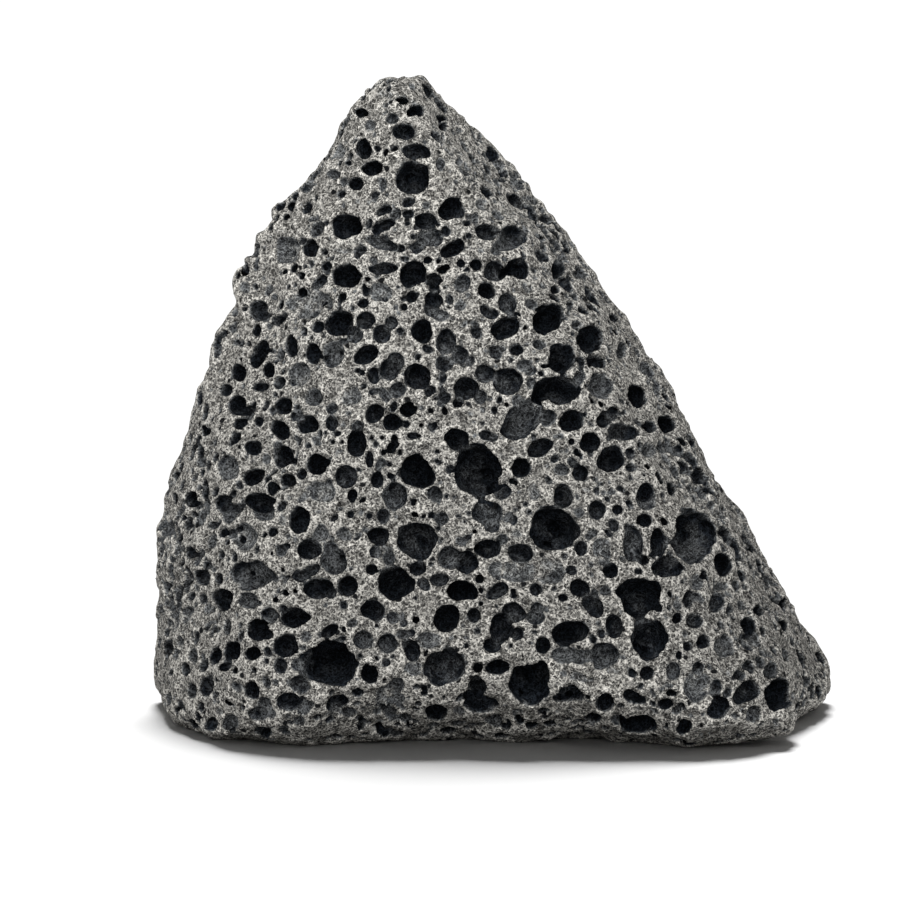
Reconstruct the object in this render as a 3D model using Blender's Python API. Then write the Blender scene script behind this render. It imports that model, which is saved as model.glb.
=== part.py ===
"""Lava rock: one natural stone of vesicular basalt, standing on its flat foot.

The stone is the rounded meeting of a few cleavage planes with gentle lumps on
it.  Gas bubbles that broke through the skin are cut in as ellipsoids, each
set on the skin along the sight line it was measured on.  Sizes are in
millimetres here and become metres when a mesh is made.
"""

import bmesh
import bpy
import numpy as np
from mathutils import Matrix

NODE = "lava_rock"
SLOT = "vesicular_basalt"
MM = 0.001

# Overall sizes that the planes below are set out to (mm).
ROCK_WIDTH = 120.0
ROCK_DEPTH = 82.0
ROCK_HEIGHT = 114.0

# The heart is the point that every plane's reach is measured from.
HEART = np.array([0.0, 0.0, 38.0])
EDGE_ROUNDING = 2.4

# name, bearing (0 front, 90 right, 180 back), lean up in degrees, reach in mm
CLEAVAGE_PLANES = [
    ("front", -1.0, 17.0, 30.5),
    ("front_left", -40.0, 21.0, 42.5),
    ("front_right", 50.0, 29.0, 35.5),
    ("left_low", -73.0, 4.0, 55.5),
    ("left_mid", -71.0, 17.0, 55.0),
    ("left_high", -70.0, 36.0, 62.0),
    ("right_low", 78.0, 29.5, 36.5),
    ("right_mid", 78.0, 33.0, 38.0),
    ("right_high", 76.0, 40.5, 40.5),
    ("back_left", -150.0, 12.0, 30.0),
    ("back_right", 150.0, 14.0, 27.5),
    ("back_high", 175.0, 38.0, 54.0),
    ("crown", 55.0, 74.0, 70.0),
    ("under", 0.0, -90.0, 39.5),
    ("heel_left", -80.0, -40.0, 69.0),
    ("heel_right", 88.0, -35.0, 69.5),
    ("heel_front", 0.0, -50.0, 49.0),
]

# Broad swellings (+) and hollows (-): x, y, z of the middle, spread, height (mm)
SWELLINGS = [
    (-45.0, 0.0, 85.0, 8.0, 1.5),
    (-36.0, -2.0, 96.0, 9.0, -0.6),
    (-26.0, -2.0, 107.0, 5.0, 0.6),
    (-51.0, 2.0, 68.0, 6.0, 0.5),
    (-55.0, 4.0, 46.0, 7.0, 0.8),
    (-60.0, 6.0, 8.0, 9.0, 1.6),
    (-4.0, -2.0, 105.0, 6.0, -3.0),
    (2.0, 0.0, 99.0, 6.0, -2.3),
    (11.0, 0.0, 88.0, 6.0, -1.5),
    (29.0, 0.0, 66.0, 7.0, 1.6),
    (40.0, 4.0, 42.0, 7.0, -0.5),
    (49.0, 4.0, 26.0, 7.0, 0.9),
    (60.0, 6.0, 6.0, 5.0, 1.3),
    (-2.0, -38.0, 0.0, 7.0, -5.0),
    (-19.0, -37.0, 0.0, 7.0, -4.5),
    (13.0, -37.0, 0.0, 6.0, -3.5),
    (32.0, -34.0, 3.0, 8.0, 1.0),
    (10.0, 30.0, 40.0, 14.0, 1.5),
    (-25.0, 22.0, 55.0, 12.0, -1.5),
    (30.0, 28.0, 15.0, 12.0, 1.5),
]

# Rolling of the skin: seed, number of waves, longest and shortest wave, height (mm)
ROLL_SEED = 11
ROLL_WAVES = 14
ROLL_LONG = 46.0
ROLL_SHORT = 15.0
ROLL_HEIGHT = 0.32

# Sight line that the front bubbles are set out on (mm, degrees).
EYE_DISTANCE = 700.0
EYE_PITCH = 8.0
EYE_AIM = np.array([-7.7, 0.0, 47.0])
AIM_UP = 52.4

# How deep a bubble goes: share of its own half depth that its middle lies
# under the skin, and its half depth as a share of the mouth's half width.
DEEP = (0.40, 1.25)
MID = (0.10, 0.95)
SHALLOW = (-0.40, 0.90)

# Bubbles seen from the front: across, up, width, height (mm), roll (degrees), depth
CROWN_PITS = [
    (-16.2, 108.9, 3.5, 2.6, 0, DEEP), (-13.7, 105.3, 4.2, 2.6, 0, DEEP),
    (-21.7, 102.3, 3.6, 2.6, 0, DEEP), (-14.6, 100.7, 6.1, 5.7, 0, DEEP),
    (-27.5, 105.5, 2.7, 3.5, 0, SHALLOW), (-7.5, 95.2, 4.7, 3.5, 35, DEEP),
    (-11.9, 92.9, 4.2, 3.0, 0, DEEP), (-11.1, 90.1, 4.7, 3.8, 0, MID),
    (-1.5, 96.1, 4.7, 2.5, 0, SHALLOW), (-0.8, 91.2, 4.0, 2.4, 0, DEEP),
    (3.6, 90.3, 5.8, 3.8, 35, MID), (-19.6, 92.2, 4.8, 2.4, 25, DEEP),
    (-26.3, 92.0, 4.9, 4.8, 0, DEEP), (-20.1, 89.2, 6.2, 2.3, -20, DEEP),
    (-7.2, 88.0, 4.4, 2.6, 30, DEEP), (-36.6, 87.8, 4.4, 5.0, 0, SHALLOW),
    (-19.4, 84.6, 4.9, 2.0, 0, DEEP), (-14.2, 83.5, 6.0, 4.5, 30, DEEP),
    (-26.3, 83.2, 4.5, 4.0, 0, DEEP), (0.4, 84.3, 4.2, 4.2, 0, MID),
    (4.4, 84.4, 4.8, 4.8, 0, DEEP), (-1.3, 80.7, 3.5, 3.2, 0, DEEP),
    (-19.9, 80.2, 4.9, 4.0, 0, SHALLOW), (-10.7, 79.1, 3.4, 2.9, 0, DEEP),
    (2.6, 78.4, 3.0, 3.5, 0, MID),
]
UPPER_PITS = [
    (-33.4, 78.4, 6.8, 6.0, 0, SHALLOW), (-41.7, 77.2, 3.5, 3.6, 0, MID),
    (-27.7, 75.0, 5.3, 4.5, 30, DEEP), (-22.6, 75.4, 3.6, 3.2, 0, DEEP),
    (-19.9, 73.1, 3.7, 3.9, 0, DEEP), (-12.7, 73.6, 3.5, 3.9, 0, DEEP),
    (2.0, 74.0, 5.0, 3.3, 25, DEEP), (9.8, 75.6, 5.8, 5.0, 35, DEEP),
    (17.6, 72.4, 5.6, 4.9, 25, DEEP), (-8.4, 71.9, 3.9, 4.8, 0, DEEP),
    (12.5, 68.9, 4.2, 4.3, 0, DEEP), (18.7, 68.3, 4.4, 2.7, 0, DEEP),
    (-41.5, 69.4, 3.0, 5.1, -25, DEEP), (-28.8, 69.6, 5.0, 5.0, 0, MID),
    (-32.3, 69.7, 2.9, 3.9, 0, DEEP), (-22.4, 69.4, 4.4, 2.8, 30, DEEP),
    (-8.6, 68.0, 3.4, 3.2, 0, DEEP), (-18.5, 66.7, 3.9, 3.9, 0, DEEP),
    (-13.5, 65.7, 4.1, 4.1, 0, DEEP), (-34.6, 65.7, 4.2, 4.5, 0, SHALLOW),
    (-1.5, 66.2, 3.5, 3.2, 0, DEEP), (-4.9, 63.5, 4.4, 4.2, 0, DEEP),
    (2.7, 64.8, 5.9, 6.2, 0, MID), (11.8, 63.0, 7.3, 4.7, 0, DEEP),
    (19.2, 63.9, 5.6, 5.6, 0, SHALLOW), (25.6, 62.0, 3.2, 3.9, 0, DEEP),
]
MIDDLE_PITS = [
    (-45.6, 60.5, 3.0, 3.2, 0, DEEP), (-32.5, 62.0, 3.4, 3.7, 0, MID),
    (-25.6, 61.8, 4.8, 4.9, 0, SHALLOW), (-37.6, 55.9, 4.7, 3.2, -30, DEEP),
    (-33.2, 57.0, 3.4, 3.0, 0, DEEP), (4.9, 57.7, 8.8, 5.6, 45, MID),
    (13.9, 57.7, 3.9, 3.5, 0, DEEP), (19.6, 58.1, 3.0, 3.0, 0, DEEP),
    (23.5, 55.8, 5.6, 3.6, 0, MID), (17.1, 54.0, 3.2, 3.0, 0, DEEP),
    (8.1, 52.6, 5.6, 3.0, 25, DEEP), (-6.8, 54.5, 4.8, 4.1, 0, DEEP),
    (-37.6, 51.5, 4.2, 4.2, 0, DEEP), (-24.2, 53.6, 3.9, 5.3, 0, DEEP),
    (21.2, 51.0, 4.2, 3.9, 0, DEEP), (28.1, 52.4, 3.9, 3.2, 0, SHALLOW),
    (-31.2, 49.9, 3.4, 4.1, 0, DEEP), (-26.1, 47.8, 4.1, 4.4, 0, MID),
    (-47.0, 49.2, 3.9, 4.6, 0, SHALLOW), (-42.6, 47.6, 4.2, 3.7, 0, DEEP),
    (-13.4, 48.7, 6.4, 6.7, 0, DEEP), (-2.9, 48.5, 8.6, 9.2, 35, DEEP),
    (4.9, 49.4, 4.2, 3.9, 0, DEEP), (12.3, 44.4, 3.2, 3.9, 0, DEEP),
    (1.7, 45.0, 3.7, 3.2, 0, MID), (7.0, 45.3, 2.7, 3.9, 0, SHALLOW),
    (-31.1, 45.0, 6.4, 4.2, 0, SHALLOW), (-17.3, 44.4, 5.0, 5.3, 0, MID),
    (-46.8, 41.2, 3.4, 3.9, 0, MID), (-41.7, 43.5, 5.6, 3.5, 0, DEEP),
    (-40.8, 41.4, 3.9, 3.2, 0, MID), (27.3, 44.1, 3.9, 4.2, 0, SHALLOW),
]
LOWER_PITS = [
    (-34.4, 40.4, 3.9, 5.3, 0, DEEP), (-44.0, 37.2, 6.0, 5.7, 0, SHALLOW),
    (-20.4, 37.3, 3.9, 3.5, 0, DEEP), (-1.2, 41.4, 5.8, 4.2, 0, MID),
    (10.5, 38.6, 8.1, 7.1, 0, DEEP), (-13.4, 36.5, 7.1, 6.7, 0, MID),
    (24.7, 35.9, 3.2, 5.6, 0, MID), (29.3, 36.3, 3.2, 5.6, 0, DEEP),
    (35.5, 37.9, 8.1, 10.0, 0, SHALLOW), (19.6, 34.9, 4.2, 3.9, 0, SHALLOW),
    (-32.8, 34.7, 4.6, 3.5, 0, DEEP), (-28.2, 32.9, 4.8, 5.0, 0, MID),
    (-1.2, 34.9, 5.0, 3.7, 0, DEEP), (-7.9, 33.6, 3.9, 3.9, 0, MID),
    (-4.5, 32.6, 4.4, 4.4, 0, DEEP), (4.7, 34.3, 3.9, 2.8, 0, DEEP),
    (4.9, 31.2, 8.1, 4.6, 0, SHALLOW), (0.6, 31.5, 3.5, 3.2, 0, SHALLOW),
    (-33.0, 30.8, 4.8, 2.1, 30, DEEP), (10.0, 31.5, 6.0, 6.0, 0, SHALLOW),
    (31.2, 31.9, 6.0, 3.9, 0, DEEP), (40.8, 32.2, 3.2, 4.1, 0, DEEP),
    (-43.6, 30.3, 8.1, 5.0, 0, MID), (-17.3, 28.7, 6.4, 5.8, 0, DEEP),
    (-5.6, 27.4, 6.0, 4.2, 0, DEEP), (0.6, 27.4, 4.8, 2.7, 25, MID),
    (25.9, 26.4, 8.5, 6.7, 0, DEEP), (-48.2, 26.0, 4.1, 4.1, 0, DEEP),
    (-43.8, 25.7, 4.8, 3.2, 0, MID), (-31.1, 28.0, 5.0, 3.5, 0, DEEP),
    (-25.8, 28.5, 3.7, 3.5, 0, DEEP), (-21.3, 24.1, 4.2, 3.5, 0, DEEP),
]
FOOT_PITS = [
    (-35.5, 22.8, 5.0, 3.4, 0, DEEP), (-42.0, 20.5, 4.2, 4.2, 0, DEEP),
    (-39.9, 23.2, 3.5, 3.2, 0, MID), (-8.4, 22.7, 5.7, 4.4, 35, DEEP),
    (21.3, 21.4, 2.8, 4.2, 0, DEEP), (7.5, 22.8, 3.5, 3.2, 0, MID),
    (3.5, 23.7, 4.6, 3.9, 0, MID), (1.2, 20.9, 4.2, 6.0, 0, DEEP),
    (-23.1, 18.8, 3.5, 3.2, 0, MID), (27.7, 19.1, 6.4, 7.4, 0, DEEP),
    (13.5, 20.2, 7.4, 4.6, 15, DEEP), (8.8, 17.9, 3.2, 3.2, 0, DEEP),
    (12.8, 16.3, 6.0, 3.2, 0, MID), (19.7, 16.1, 4.6, 4.2, 0, MID),
    (41.2, 17.9, 3.9, 4.2, 0, SHALLOW), (-18.7, 18.2, 3.9, 4.2, 0, MID),
    (-37.1, 17.9, 4.6, 3.9, 0, DEEP), (-46.5, 16.8, 3.2, 3.4, 0, DEEP),
    (-28.8, 14.7, 9.9, 7.4, 0, DEEP), (-14.4, 16.8, 3.0, 3.9, 0, DEEP),
    (-14.2, 13.8, 3.9, 3.2, 0, SHALLOW), (-8.6, 13.5, 8.1, 7.4, 0, MID),
    (-10.7, 13.6, 3.2, 3.9, 0, DEEP), (-11.2, 18.8, 5.3, 3.2, 0, SHALLOW),
    (-21.9, 12.9, 3.5, 4.4, 0, DEEP), (0.8, 14.0, 4.2, 2.8, 0, DEEP),
    (36.6, 10.8, 6.0, 5.7, 0, SHALLOW), (6.1, 10.4, 7.4, 7.4, 0, DEEP),
    (-2.7, 10.3, 3.5, 3.9, 0, DEEP), (-2.4, 7.1, 7.4, 3.2, 0, DEEP),
    (15.1, 12.0, 5.0, 2.3, -20, SHALLOW), (13.0, 8.7, 5.0, 3.9, 0, DEEP),
    (51.8, 9.9, 4.6, 5.0, 0, DEEP), (45.2, 9.7, 4.6, 3.2, 30, DEEP),
    (-36.4, 7.4, 4.2, 2.8, 0, DEEP), (-27.7, 7.3, 4.2, 3.0, 30, DEEP),
    (-10.2, 6.0, 3.9, 3.4, 0, DEEP), (25.0, 8.3, 4.4, 2.1, -30, DEEP),
    (40.1, 6.2, 3.9, 3.5, 0, DEEP), (46.3, 5.3, 3.2, 3.5, 0, MID),
    (-46.8, 3.7, 3.2, 3.5, 0, MID), (25.4, 3.4, 6.0, 3.2, 0, DEEP),
]

# Bubbles on the sides, the back and the top, spread by seed (mm).
HIDDEN_SEED = 23
HIDDEN_TRIES = 1600
HIDDEN_COUNT = 80
HIDDEN_SMALL = 3.6
HIDDEN_LARGE = 8.4
HIDDEN_GAP = 1.12
HIDDEN_FLOOR = 6.0
HIDDEN_FACING = -0.05
MOUTH_FACING = 0.30

# Mesh fineness.
BODY_STEPS = 6
FINE_BUBBLE = 5.0
FINE_STEPS = 3
COARSE_STEPS = 2
FACE_BUDGET = 9700
GROUND_SIDE = 200.0
GROUND_DEPTH = 30.0

# Finish.
STONE_COLOUR = (0.235, 0.222, 0.205, 1.0)
STONE_ROUGHNESS = 0.92


def plane_normal(bearing, lean):
    """Outward direction of a cleavage plane."""
    turn = np.radians(bearing)
    tilt = np.radians(lean)
    flat = np.cos(tilt)
    return np.array([np.sin(turn) * flat, -np.cos(turn) * flat, np.sin(tilt)])


NORMALS = np.array([plane_normal(row[1], row[2]) for row in CLEAVAGE_PLANES])
REACHES = np.array([row[3] for row in CLEAVAGE_PLANES])


def roll_waves():
    """Directions, wave numbers and starts of the waves that roll the skin."""
    rng = np.random.default_rng(ROLL_SEED)
    ways = rng.normal(size=(ROLL_WAVES, 3))
    ways /= np.linalg.norm(ways, axis=1)[:, None]
    lengths = np.geomspace(ROLL_LONG, ROLL_SHORT, ROLL_WAVES)
    starts = rng.uniform(0.0, 2.0 * np.pi, ROLL_WAVES)
    heights = ROLL_HEIGHT * (lengths / ROLL_LONG) ** 0.5
    return ways * (2.0 * np.pi / lengths)[:, None], starts, heights


WAVES = roll_waves()


def skin(points):
    """Signed distance-like value of the unpitted stone: below zero inside."""
    planes = (points - HEART) @ NORMALS.T - REACHES
    top = planes.max(axis=-1)
    spread = np.exp((planes - top[..., None]) / EDGE_ROUNDING).sum(axis=-1)
    value = top + EDGE_ROUNDING * np.log(spread)
    for x, y, z, reach, height in SWELLINGS:
        away = ((points - np.array([x, y, z])) ** 2).sum(axis=-1)
        value = value - height * np.exp(-away / (2.0 * reach * reach))
    numbers, starts, heights = WAVES
    return value + (np.sin(points @ numbers.T + starts) * heights).sum(axis=-1)


def skin_normal(point):
    """Outward normal of the skin near a point."""
    step = 0.4
    axes = np.eye(3) * step
    slope = skin(point + axes) - skin(point - axes)
    return slope / np.linalg.norm(slope)


def skin_along(directions):
    """Points where rays from the heart leave the skin."""
    near = np.zeros(len(directions))
    far = np.full(len(directions), 140.0)
    for _ in range(36):
        half = (near + far) / 2.0
        inside = skin(HEART + directions * half[:, None]) < 0.0
        near = np.where(inside, half, near)
        far = np.where(inside, far, half)
    return HEART + directions * near[:, None]


def sight_frame():
    """Eye position, and the right, up and inward directions of the sight plane."""
    pitch = np.radians(EYE_PITCH)
    back = np.array([0.0, -np.cos(pitch), np.sin(pitch)])
    right = np.array([1.0, 0.0, 0.0])
    return EYE_AIM + back * EYE_DISTANCE, right, np.cross(right, -back), -back


def meet_skin(origin, direction):
    """First point where a ray from outside meets the skin, or None."""
    steps = EYE_DISTANCE + np.arange(-80.0, 80.0, 0.5)
    points = origin + direction * steps[:, None]
    inside = skin(points) < 0.0
    if not inside.any():
        return None
    first = int(np.argmax(inside))
    near = steps[max(first - 1, 0)]
    far = steps[first]
    for _ in range(24):
        half = (near + far) / 2.0
        if skin(origin + direction * half) < 0.0:
            far = half
        else:
            near = half
    return origin + direction * far


def bubble(point, outward, half_a, half_b, depth):
    """Middle and axes (columns) of a bubble with its mouth on the skin."""
    sunk, long = depth
    open_share = np.sqrt(1.0 - sunk * sunk)
    mean = np.sqrt(np.linalg.norm(half_a) * np.linalg.norm(half_b))
    half_depth = mean * long
    axes = np.stack([half_a / open_share, half_b / open_share, -outward * half_depth], axis=1)
    return point - outward * half_depth * sunk, axes


def front_bubbles():
    """Bubbles of the table, set on the skin along their sight lines."""
    eye, right, up, inward = sight_frame()
    bubbles = []
    for across, high, width, height, roll, depth in FRONT_PITS:
        target = EYE_AIM + right * (across - EYE_AIM[0]) + up * (high - AIM_UP)
        ray = target - eye
        ray = ray / np.linalg.norm(ray)
        point = meet_skin(eye, ray)
        if point is None:
            continue
        outward = skin_normal(point)
        turn = np.radians(roll)
        half_a = (right * np.cos(turn) + up * np.sin(turn)) * width / 2.0
        half_b = (up * np.cos(turn) - right * np.sin(turn)) * height / 2.0
        facing = min(inward @ outward, -MOUTH_FACING)
        half_a = half_a - inward * (half_a @ outward) / facing
        half_b = half_b - inward * (half_b @ outward) / facing
        bubbles.append(bubble(point, outward, half_a, half_b, depth))
    return bubbles


def hidden_bubbles():
    """Seeded bubbles on the sides that the front sight line doesn't reach."""
    rng = np.random.default_rng(HIDDEN_SEED)
    eye = sight_frame()[0]
    bubbles = []
    taken = []
    for _ in range(HIDDEN_TRIES):
        way = rng.normal(size=3)
        way /= np.linalg.norm(way)
        wide = HIDDEN_SMALL + (HIDDEN_LARGE - HIDDEN_SMALL) * rng.random() ** 2.2
        stretch = rng.uniform(0.72, 1.0)
        turn = rng.uniform(0.0, np.pi)
        kind = rng.random()
        point = skin_along(way[None, :])[0]
        outward = skin_normal(point)
        to_eye = eye - point
        facing = outward @ to_eye / np.linalg.norm(to_eye)
        if facing > HIDDEN_FACING or point[2] < HIDDEN_FLOOR or outward[2] < -0.4:
            continue
        if len(taken) >= HIDDEN_COUNT:
            break
        if any(np.linalg.norm(point - other) < HIDDEN_GAP * (wide + size) / 2.0
               for other, size in taken):
            continue
        taken.append((point, wide))
        side = np.cross(outward, [0.3, 0.2, 0.93])
        side /= np.linalg.norm(side)
        over = np.cross(outward, side)
        half_a = (side * np.cos(turn) + over * np.sin(turn)) * wide / 2.0
        half_b = (over * np.cos(turn) - side * np.sin(turn)) * wide * stretch / 2.0
        depth = DEEP if kind < 0.55 else MID if kind < 0.8 else SHALLOW
        bubbles.append(bubble(point, outward, half_a, half_b, depth))
    return bubbles


FRONT_PITS = CROWN_PITS + UPPER_PITS + MIDDLE_PITS + LOWER_PITS + FOOT_PITS


def new_object(name, work):
    """Object from a bmesh, linked into the scene."""
    mesh = bpy.data.meshes.new(name)
    work.to_mesh(mesh)
    work.free()
    thing = bpy.data.objects.new(name, mesh)
    bpy.context.scene.collection.objects.link(thing)
    return thing


def as_cutter(thing):
    """Mark an object as a cutting body only."""
    thing.hide_render = True
    thing.display_type = "WIRE"
    return thing


def build_body():
    """Closed mesh of the stone before any bubble is cut."""
    work = bmesh.new()
    bmesh.ops.create_icosphere(work, subdivisions=BODY_STEPS, radius=1.0)
    ways = np.array([vert.co[:] for vert in work.verts])
    ways /= np.linalg.norm(ways, axis=1)[:, None]
    places = skin_along(ways) * MM
    for vert, place in zip(work.verts, places):
        vert.co = place
    bmesh.ops.recalc_face_normals(work, faces=work.faces)
    return new_object(NODE, work)


def build_cutter(bubbles):
    """All bubbles as ellipsoids in one cutting mesh."""
    work = bmesh.new()
    for middle, axes in bubbles:
        mean = 2.0 * np.linalg.norm(axes[:, 0])
        steps = FINE_STEPS if mean > FINE_BUBBLE else COARSE_STEPS
        made = bmesh.ops.create_icosphere(work, subdivisions=steps, radius=1.0)
        turned = np.linalg.det(axes) < 0.0
        for vert in made["verts"]:
            vert.co = (middle + axes @ np.array(vert.co[:])) * MM
        if turned:
            faces = {face for vert in made["verts"] for face in vert.link_faces}
            bmesh.ops.reverse_faces(work, faces=list(faces))
    return as_cutter(new_object("bubble_cutter", work))


def build_ground():
    """Block that takes off everything below the flat foot."""
    work = bmesh.new()
    bmesh.ops.create_cube(work, size=1.0)
    bmesh.ops.scale(work, vec=(GROUND_SIDE * MM, GROUND_SIDE * MM, GROUND_DEPTH * MM),
                    verts=work.verts)
    bmesh.ops.translate(work, vec=(0.0, 0.0, -GROUND_DEPTH * MM / 2.0), verts=work.verts)
    return as_cutter(new_object("ground_cutter", work))


def add_cut(rock, name, cutter, own_overlaps):
    """Boolean that takes the cutter out of the rock."""
    cut = rock.modifiers.new(name, "BOOLEAN")
    cut.operation = "DIFFERENCE"
    cut.solver = "EXACT"
    cut.use_self = own_overlaps
    cut.object = cutter


def bake(rock):
    """Make the modifiers' result the rock's own mesh."""
    graph = bpy.context.evaluated_depsgraph_get()
    graph.update()
    done = bpy.data.meshes.new_from_object(rock.evaluated_get(graph))
    rock.modifiers.clear()
    rock.data = done


def centre_footprint(rock):
    """Bring the middle of the box's footprint over the origin."""
    places = np.array([vert.co[:] for vert in rock.data.vertices])
    middle = (places.min(axis=0) + places.max(axis=0)) / 2.0
    rock.data.transform(Matrix.Translation((-middle[0], -middle[1], 0.0)))


def stone_finish():
    """Rough warm grey stone."""
    material = bpy.data.materials.new(SLOT)
    material.use_nodes = True
    shader = material.node_tree.nodes["Principled BSDF"]
    shader.inputs["Base Color"].default_value = STONE_COLOUR
    shader.inputs["Roughness"].default_value = STONE_ROUGHNESS
    return material


def main():
    """Build the lava rock."""
    for thing in list(bpy.data.objects):
        bpy.data.objects.remove(thing, do_unlink=True)
    rock = build_body()
    bubbles = front_bubbles() + hidden_bubbles()
    cutter = build_cutter(bubbles)
    add_cut(rock, "bubbles", cutter, True)
    bake(rock)
    bpy.data.objects.remove(cutter, do_unlink=True)
    thin = rock.modifiers.new("thin", "DECIMATE")
    triangles = sum(len(face.vertices) - 2 for face in rock.data.polygons)
    thin.ratio = min(1.0, FACE_BUDGET / triangles)
    bake(rock)
    ground = build_ground()
    add_cut(rock, "ground", ground, False)
    bake(rock)
    bpy.data.objects.remove(ground, do_unlink=True)
    centre_footprint(rock)
    rock.data.materials.append(stone_finish())


main()
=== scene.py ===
"""Lava rock, dressed: one weather-beaten stone of vesicular basalt on a pale floor.

The stone is worked out as a field on a fine lattice: a rounded meeting of
cleavage planes, less several thousand gas bubbles.  The surface where that
field is zero becomes one closed mesh.  Sizes are millimetres until a mesh
is made, and metres after that.
"""

import logging
from dataclasses import dataclass, field
from enum import Enum
from typing import Any, Iterator, Sequence

import bpy
import numpy as np
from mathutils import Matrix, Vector


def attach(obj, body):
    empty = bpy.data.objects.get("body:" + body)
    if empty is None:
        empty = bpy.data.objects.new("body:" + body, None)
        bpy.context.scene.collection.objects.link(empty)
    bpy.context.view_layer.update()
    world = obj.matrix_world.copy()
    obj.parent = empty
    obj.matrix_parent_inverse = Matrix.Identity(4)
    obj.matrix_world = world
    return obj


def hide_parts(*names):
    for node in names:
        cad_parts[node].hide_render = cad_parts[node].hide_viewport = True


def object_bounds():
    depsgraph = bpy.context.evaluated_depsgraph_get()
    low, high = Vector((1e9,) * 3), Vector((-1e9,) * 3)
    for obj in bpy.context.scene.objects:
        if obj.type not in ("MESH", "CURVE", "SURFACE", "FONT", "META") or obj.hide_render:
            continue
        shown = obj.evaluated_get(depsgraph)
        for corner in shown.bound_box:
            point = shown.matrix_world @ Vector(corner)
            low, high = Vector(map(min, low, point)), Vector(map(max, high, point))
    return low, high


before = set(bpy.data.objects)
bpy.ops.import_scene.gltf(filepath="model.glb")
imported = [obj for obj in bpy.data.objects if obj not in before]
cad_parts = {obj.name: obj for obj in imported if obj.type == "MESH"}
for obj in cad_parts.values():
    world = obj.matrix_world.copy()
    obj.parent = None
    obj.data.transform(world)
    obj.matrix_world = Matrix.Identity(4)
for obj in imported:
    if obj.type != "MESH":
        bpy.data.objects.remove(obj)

LOG = logging.getLogger("lava_rock")
MM = 0.001
ROOT = "root"
NODE = "lava_rock"

Array = np.ndarray
Span = tuple[float, float]

# Direction, off every normal, that a mouth's turn is counted from
MOUTH_START = (0.3, 0.2, 0.93)

# Shift that brings the middle of the footprint over the origin, in mm
CENTRING = (-0.33, -0.40)


class Depth(Enum):
    """How a bubble sits in the skin: (share sunk, half depth over half width)."""

    DEEP = (0.42, 1.35)
    MID = (0.22, 1.05)
    DISH = (-0.02, 1.00)
    SHALLOW = (-0.30, 0.95)


DEEP = Depth.DEEP
MID = Depth.MID
DISH = Depth.DISH
SHALLOW = Depth.SHALLOW

# Bubbles seen from the front: across, up, width, height (mm), roll (degrees), depth
CROWN_PITS = [
    (-16.2, 114.2, 2.9, 1.7, 0, DEEP), (-13.7, 112.6, 2.9, 2.2, 0, DEEP), (-18.1, 111.2, 2.4, 1.9, 0, MID),
    (-19.2, 113.5, 1.2, 1.1, 0, MID), (-23.6, 112.2, 1.5, 1.5, 0, DEEP), (-16.2, 108.9, 3.5, 2.6, 0, DEEP),
    (-8.9, 109.7, 1.5, 2.2, 0, MID), (-9.3, 111.2, 1.8, 1.1, 0, MID), (-23.1, 105.8, 2.4, 3.5, 0, DEEP),
    (-18.9, 105.0, 1.2, 1.3, 0, DEEP), (-13.7, 105.3, 4.2, 2.6, 0, DEEP), (-9.1, 103.2, 1.5, 2.2, 0, DEEP),
    (-21.7, 102.3, 3.6, 2.6, 0, DEEP), (-24.5, 99.7, 2.8, 2.2, 0, DEEP), (-14.6, 100.7, 6.1, 5.7, 0, DEEP),
    (-28.1, 101.1, 2.6, 1.8, 0, SHALLOW), (-27.5, 105.5, 2.7, 3.5, 0, SHALLOW),
    (-15.0, 96.5, 2.7, 2.0, 30, DEEP),
    (-15.1, 94.2, 2.4, 1.8, 0, MID), (-19.6, 95.0, 2.7, 1.6, 30, DEEP), (-7.5, 95.2, 4.7, 3.5, 35, DEEP),
    (-11.9, 92.9, 4.2, 3.0, 0, DEEP), (-11.1, 90.1, 4.7, 3.8, 0, MID), (-1.5, 96.1, 4.7, 2.5, 0, SHALLOW),
    (-0.8, 91.2, 4.0, 2.4, 0, DEEP), (3.6, 90.3, 5.8, 3.8, 35, MID), (-19.6, 92.2, 4.8, 2.4, 25, DEEP),
    (-26.3, 92.0, 4.9, 4.8, 0, DEEP), (-25.9, 95.4, 2.5, 1.5, 0, SHALLOW), (-20.1, 89.2, 6.2, 2.3, -20, DEEP),
    (-26.3, 87.8, 5.0, 1.5, 0, SHALLOW), (-16.4, 88.1, 1.7, 1.5, 0, DEEP), (-7.2, 88.0, 4.4, 2.6, 30, DEEP),
    (-11.6, 86.0, 2.0, 1.5, 0, DEEP), (-32.3, 88.1, 2.7, 2.9, 0, DEEP), (-36.6, 87.8, 4.4, 5.0, 0, SHALLOW),
    (-19.4, 84.6, 4.9, 2.0, 0, DEEP), (-14.2, 83.5, 6.0, 4.5, 30, DEEP), (-8.9, 84.4, 3.0, 1.5, 30, DEEP),
    (-5.8, 85.5, 1.6, 1.4, 0, MID), (-3.1, 85.3, 2.4, 2.3, 0, DEEP), (-26.3, 83.2, 4.5, 4.0, 0, DEEP),
    (0.4, 84.3, 4.2, 4.2, 0, MID), (4.4, 84.4, 4.8, 4.8, 0, DEEP), (11.8, 85.1, 2.2, 3.5, 0, MID),
    (-1.3, 80.7, 3.5, 3.2, 0, DEEP), (11.2, 81.1, 1.6, 1.5, 0, DEEP), (6.1, 81.2, 2.8, 2.8, 0, SHALLOW),
    (8.8, 81.6, 1.6, 1.4, 0, SHALLOW), (-22.7, 80.7, 1.2, 2.5, 0, DEEP), (-19.9, 80.2, 4.9, 4.0, 0, SHALLOW),
    (-10.7, 79.1, 3.4, 2.9, 0, DEEP), (-7.7, 79.3, 1.4, 1.8, 0, DEEP), (-44.0, 81.1, 1.8, 2.2, 0, SHALLOW),
    (2.6, 78.4, 3.0, 3.5, 0, MID),
]
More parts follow.
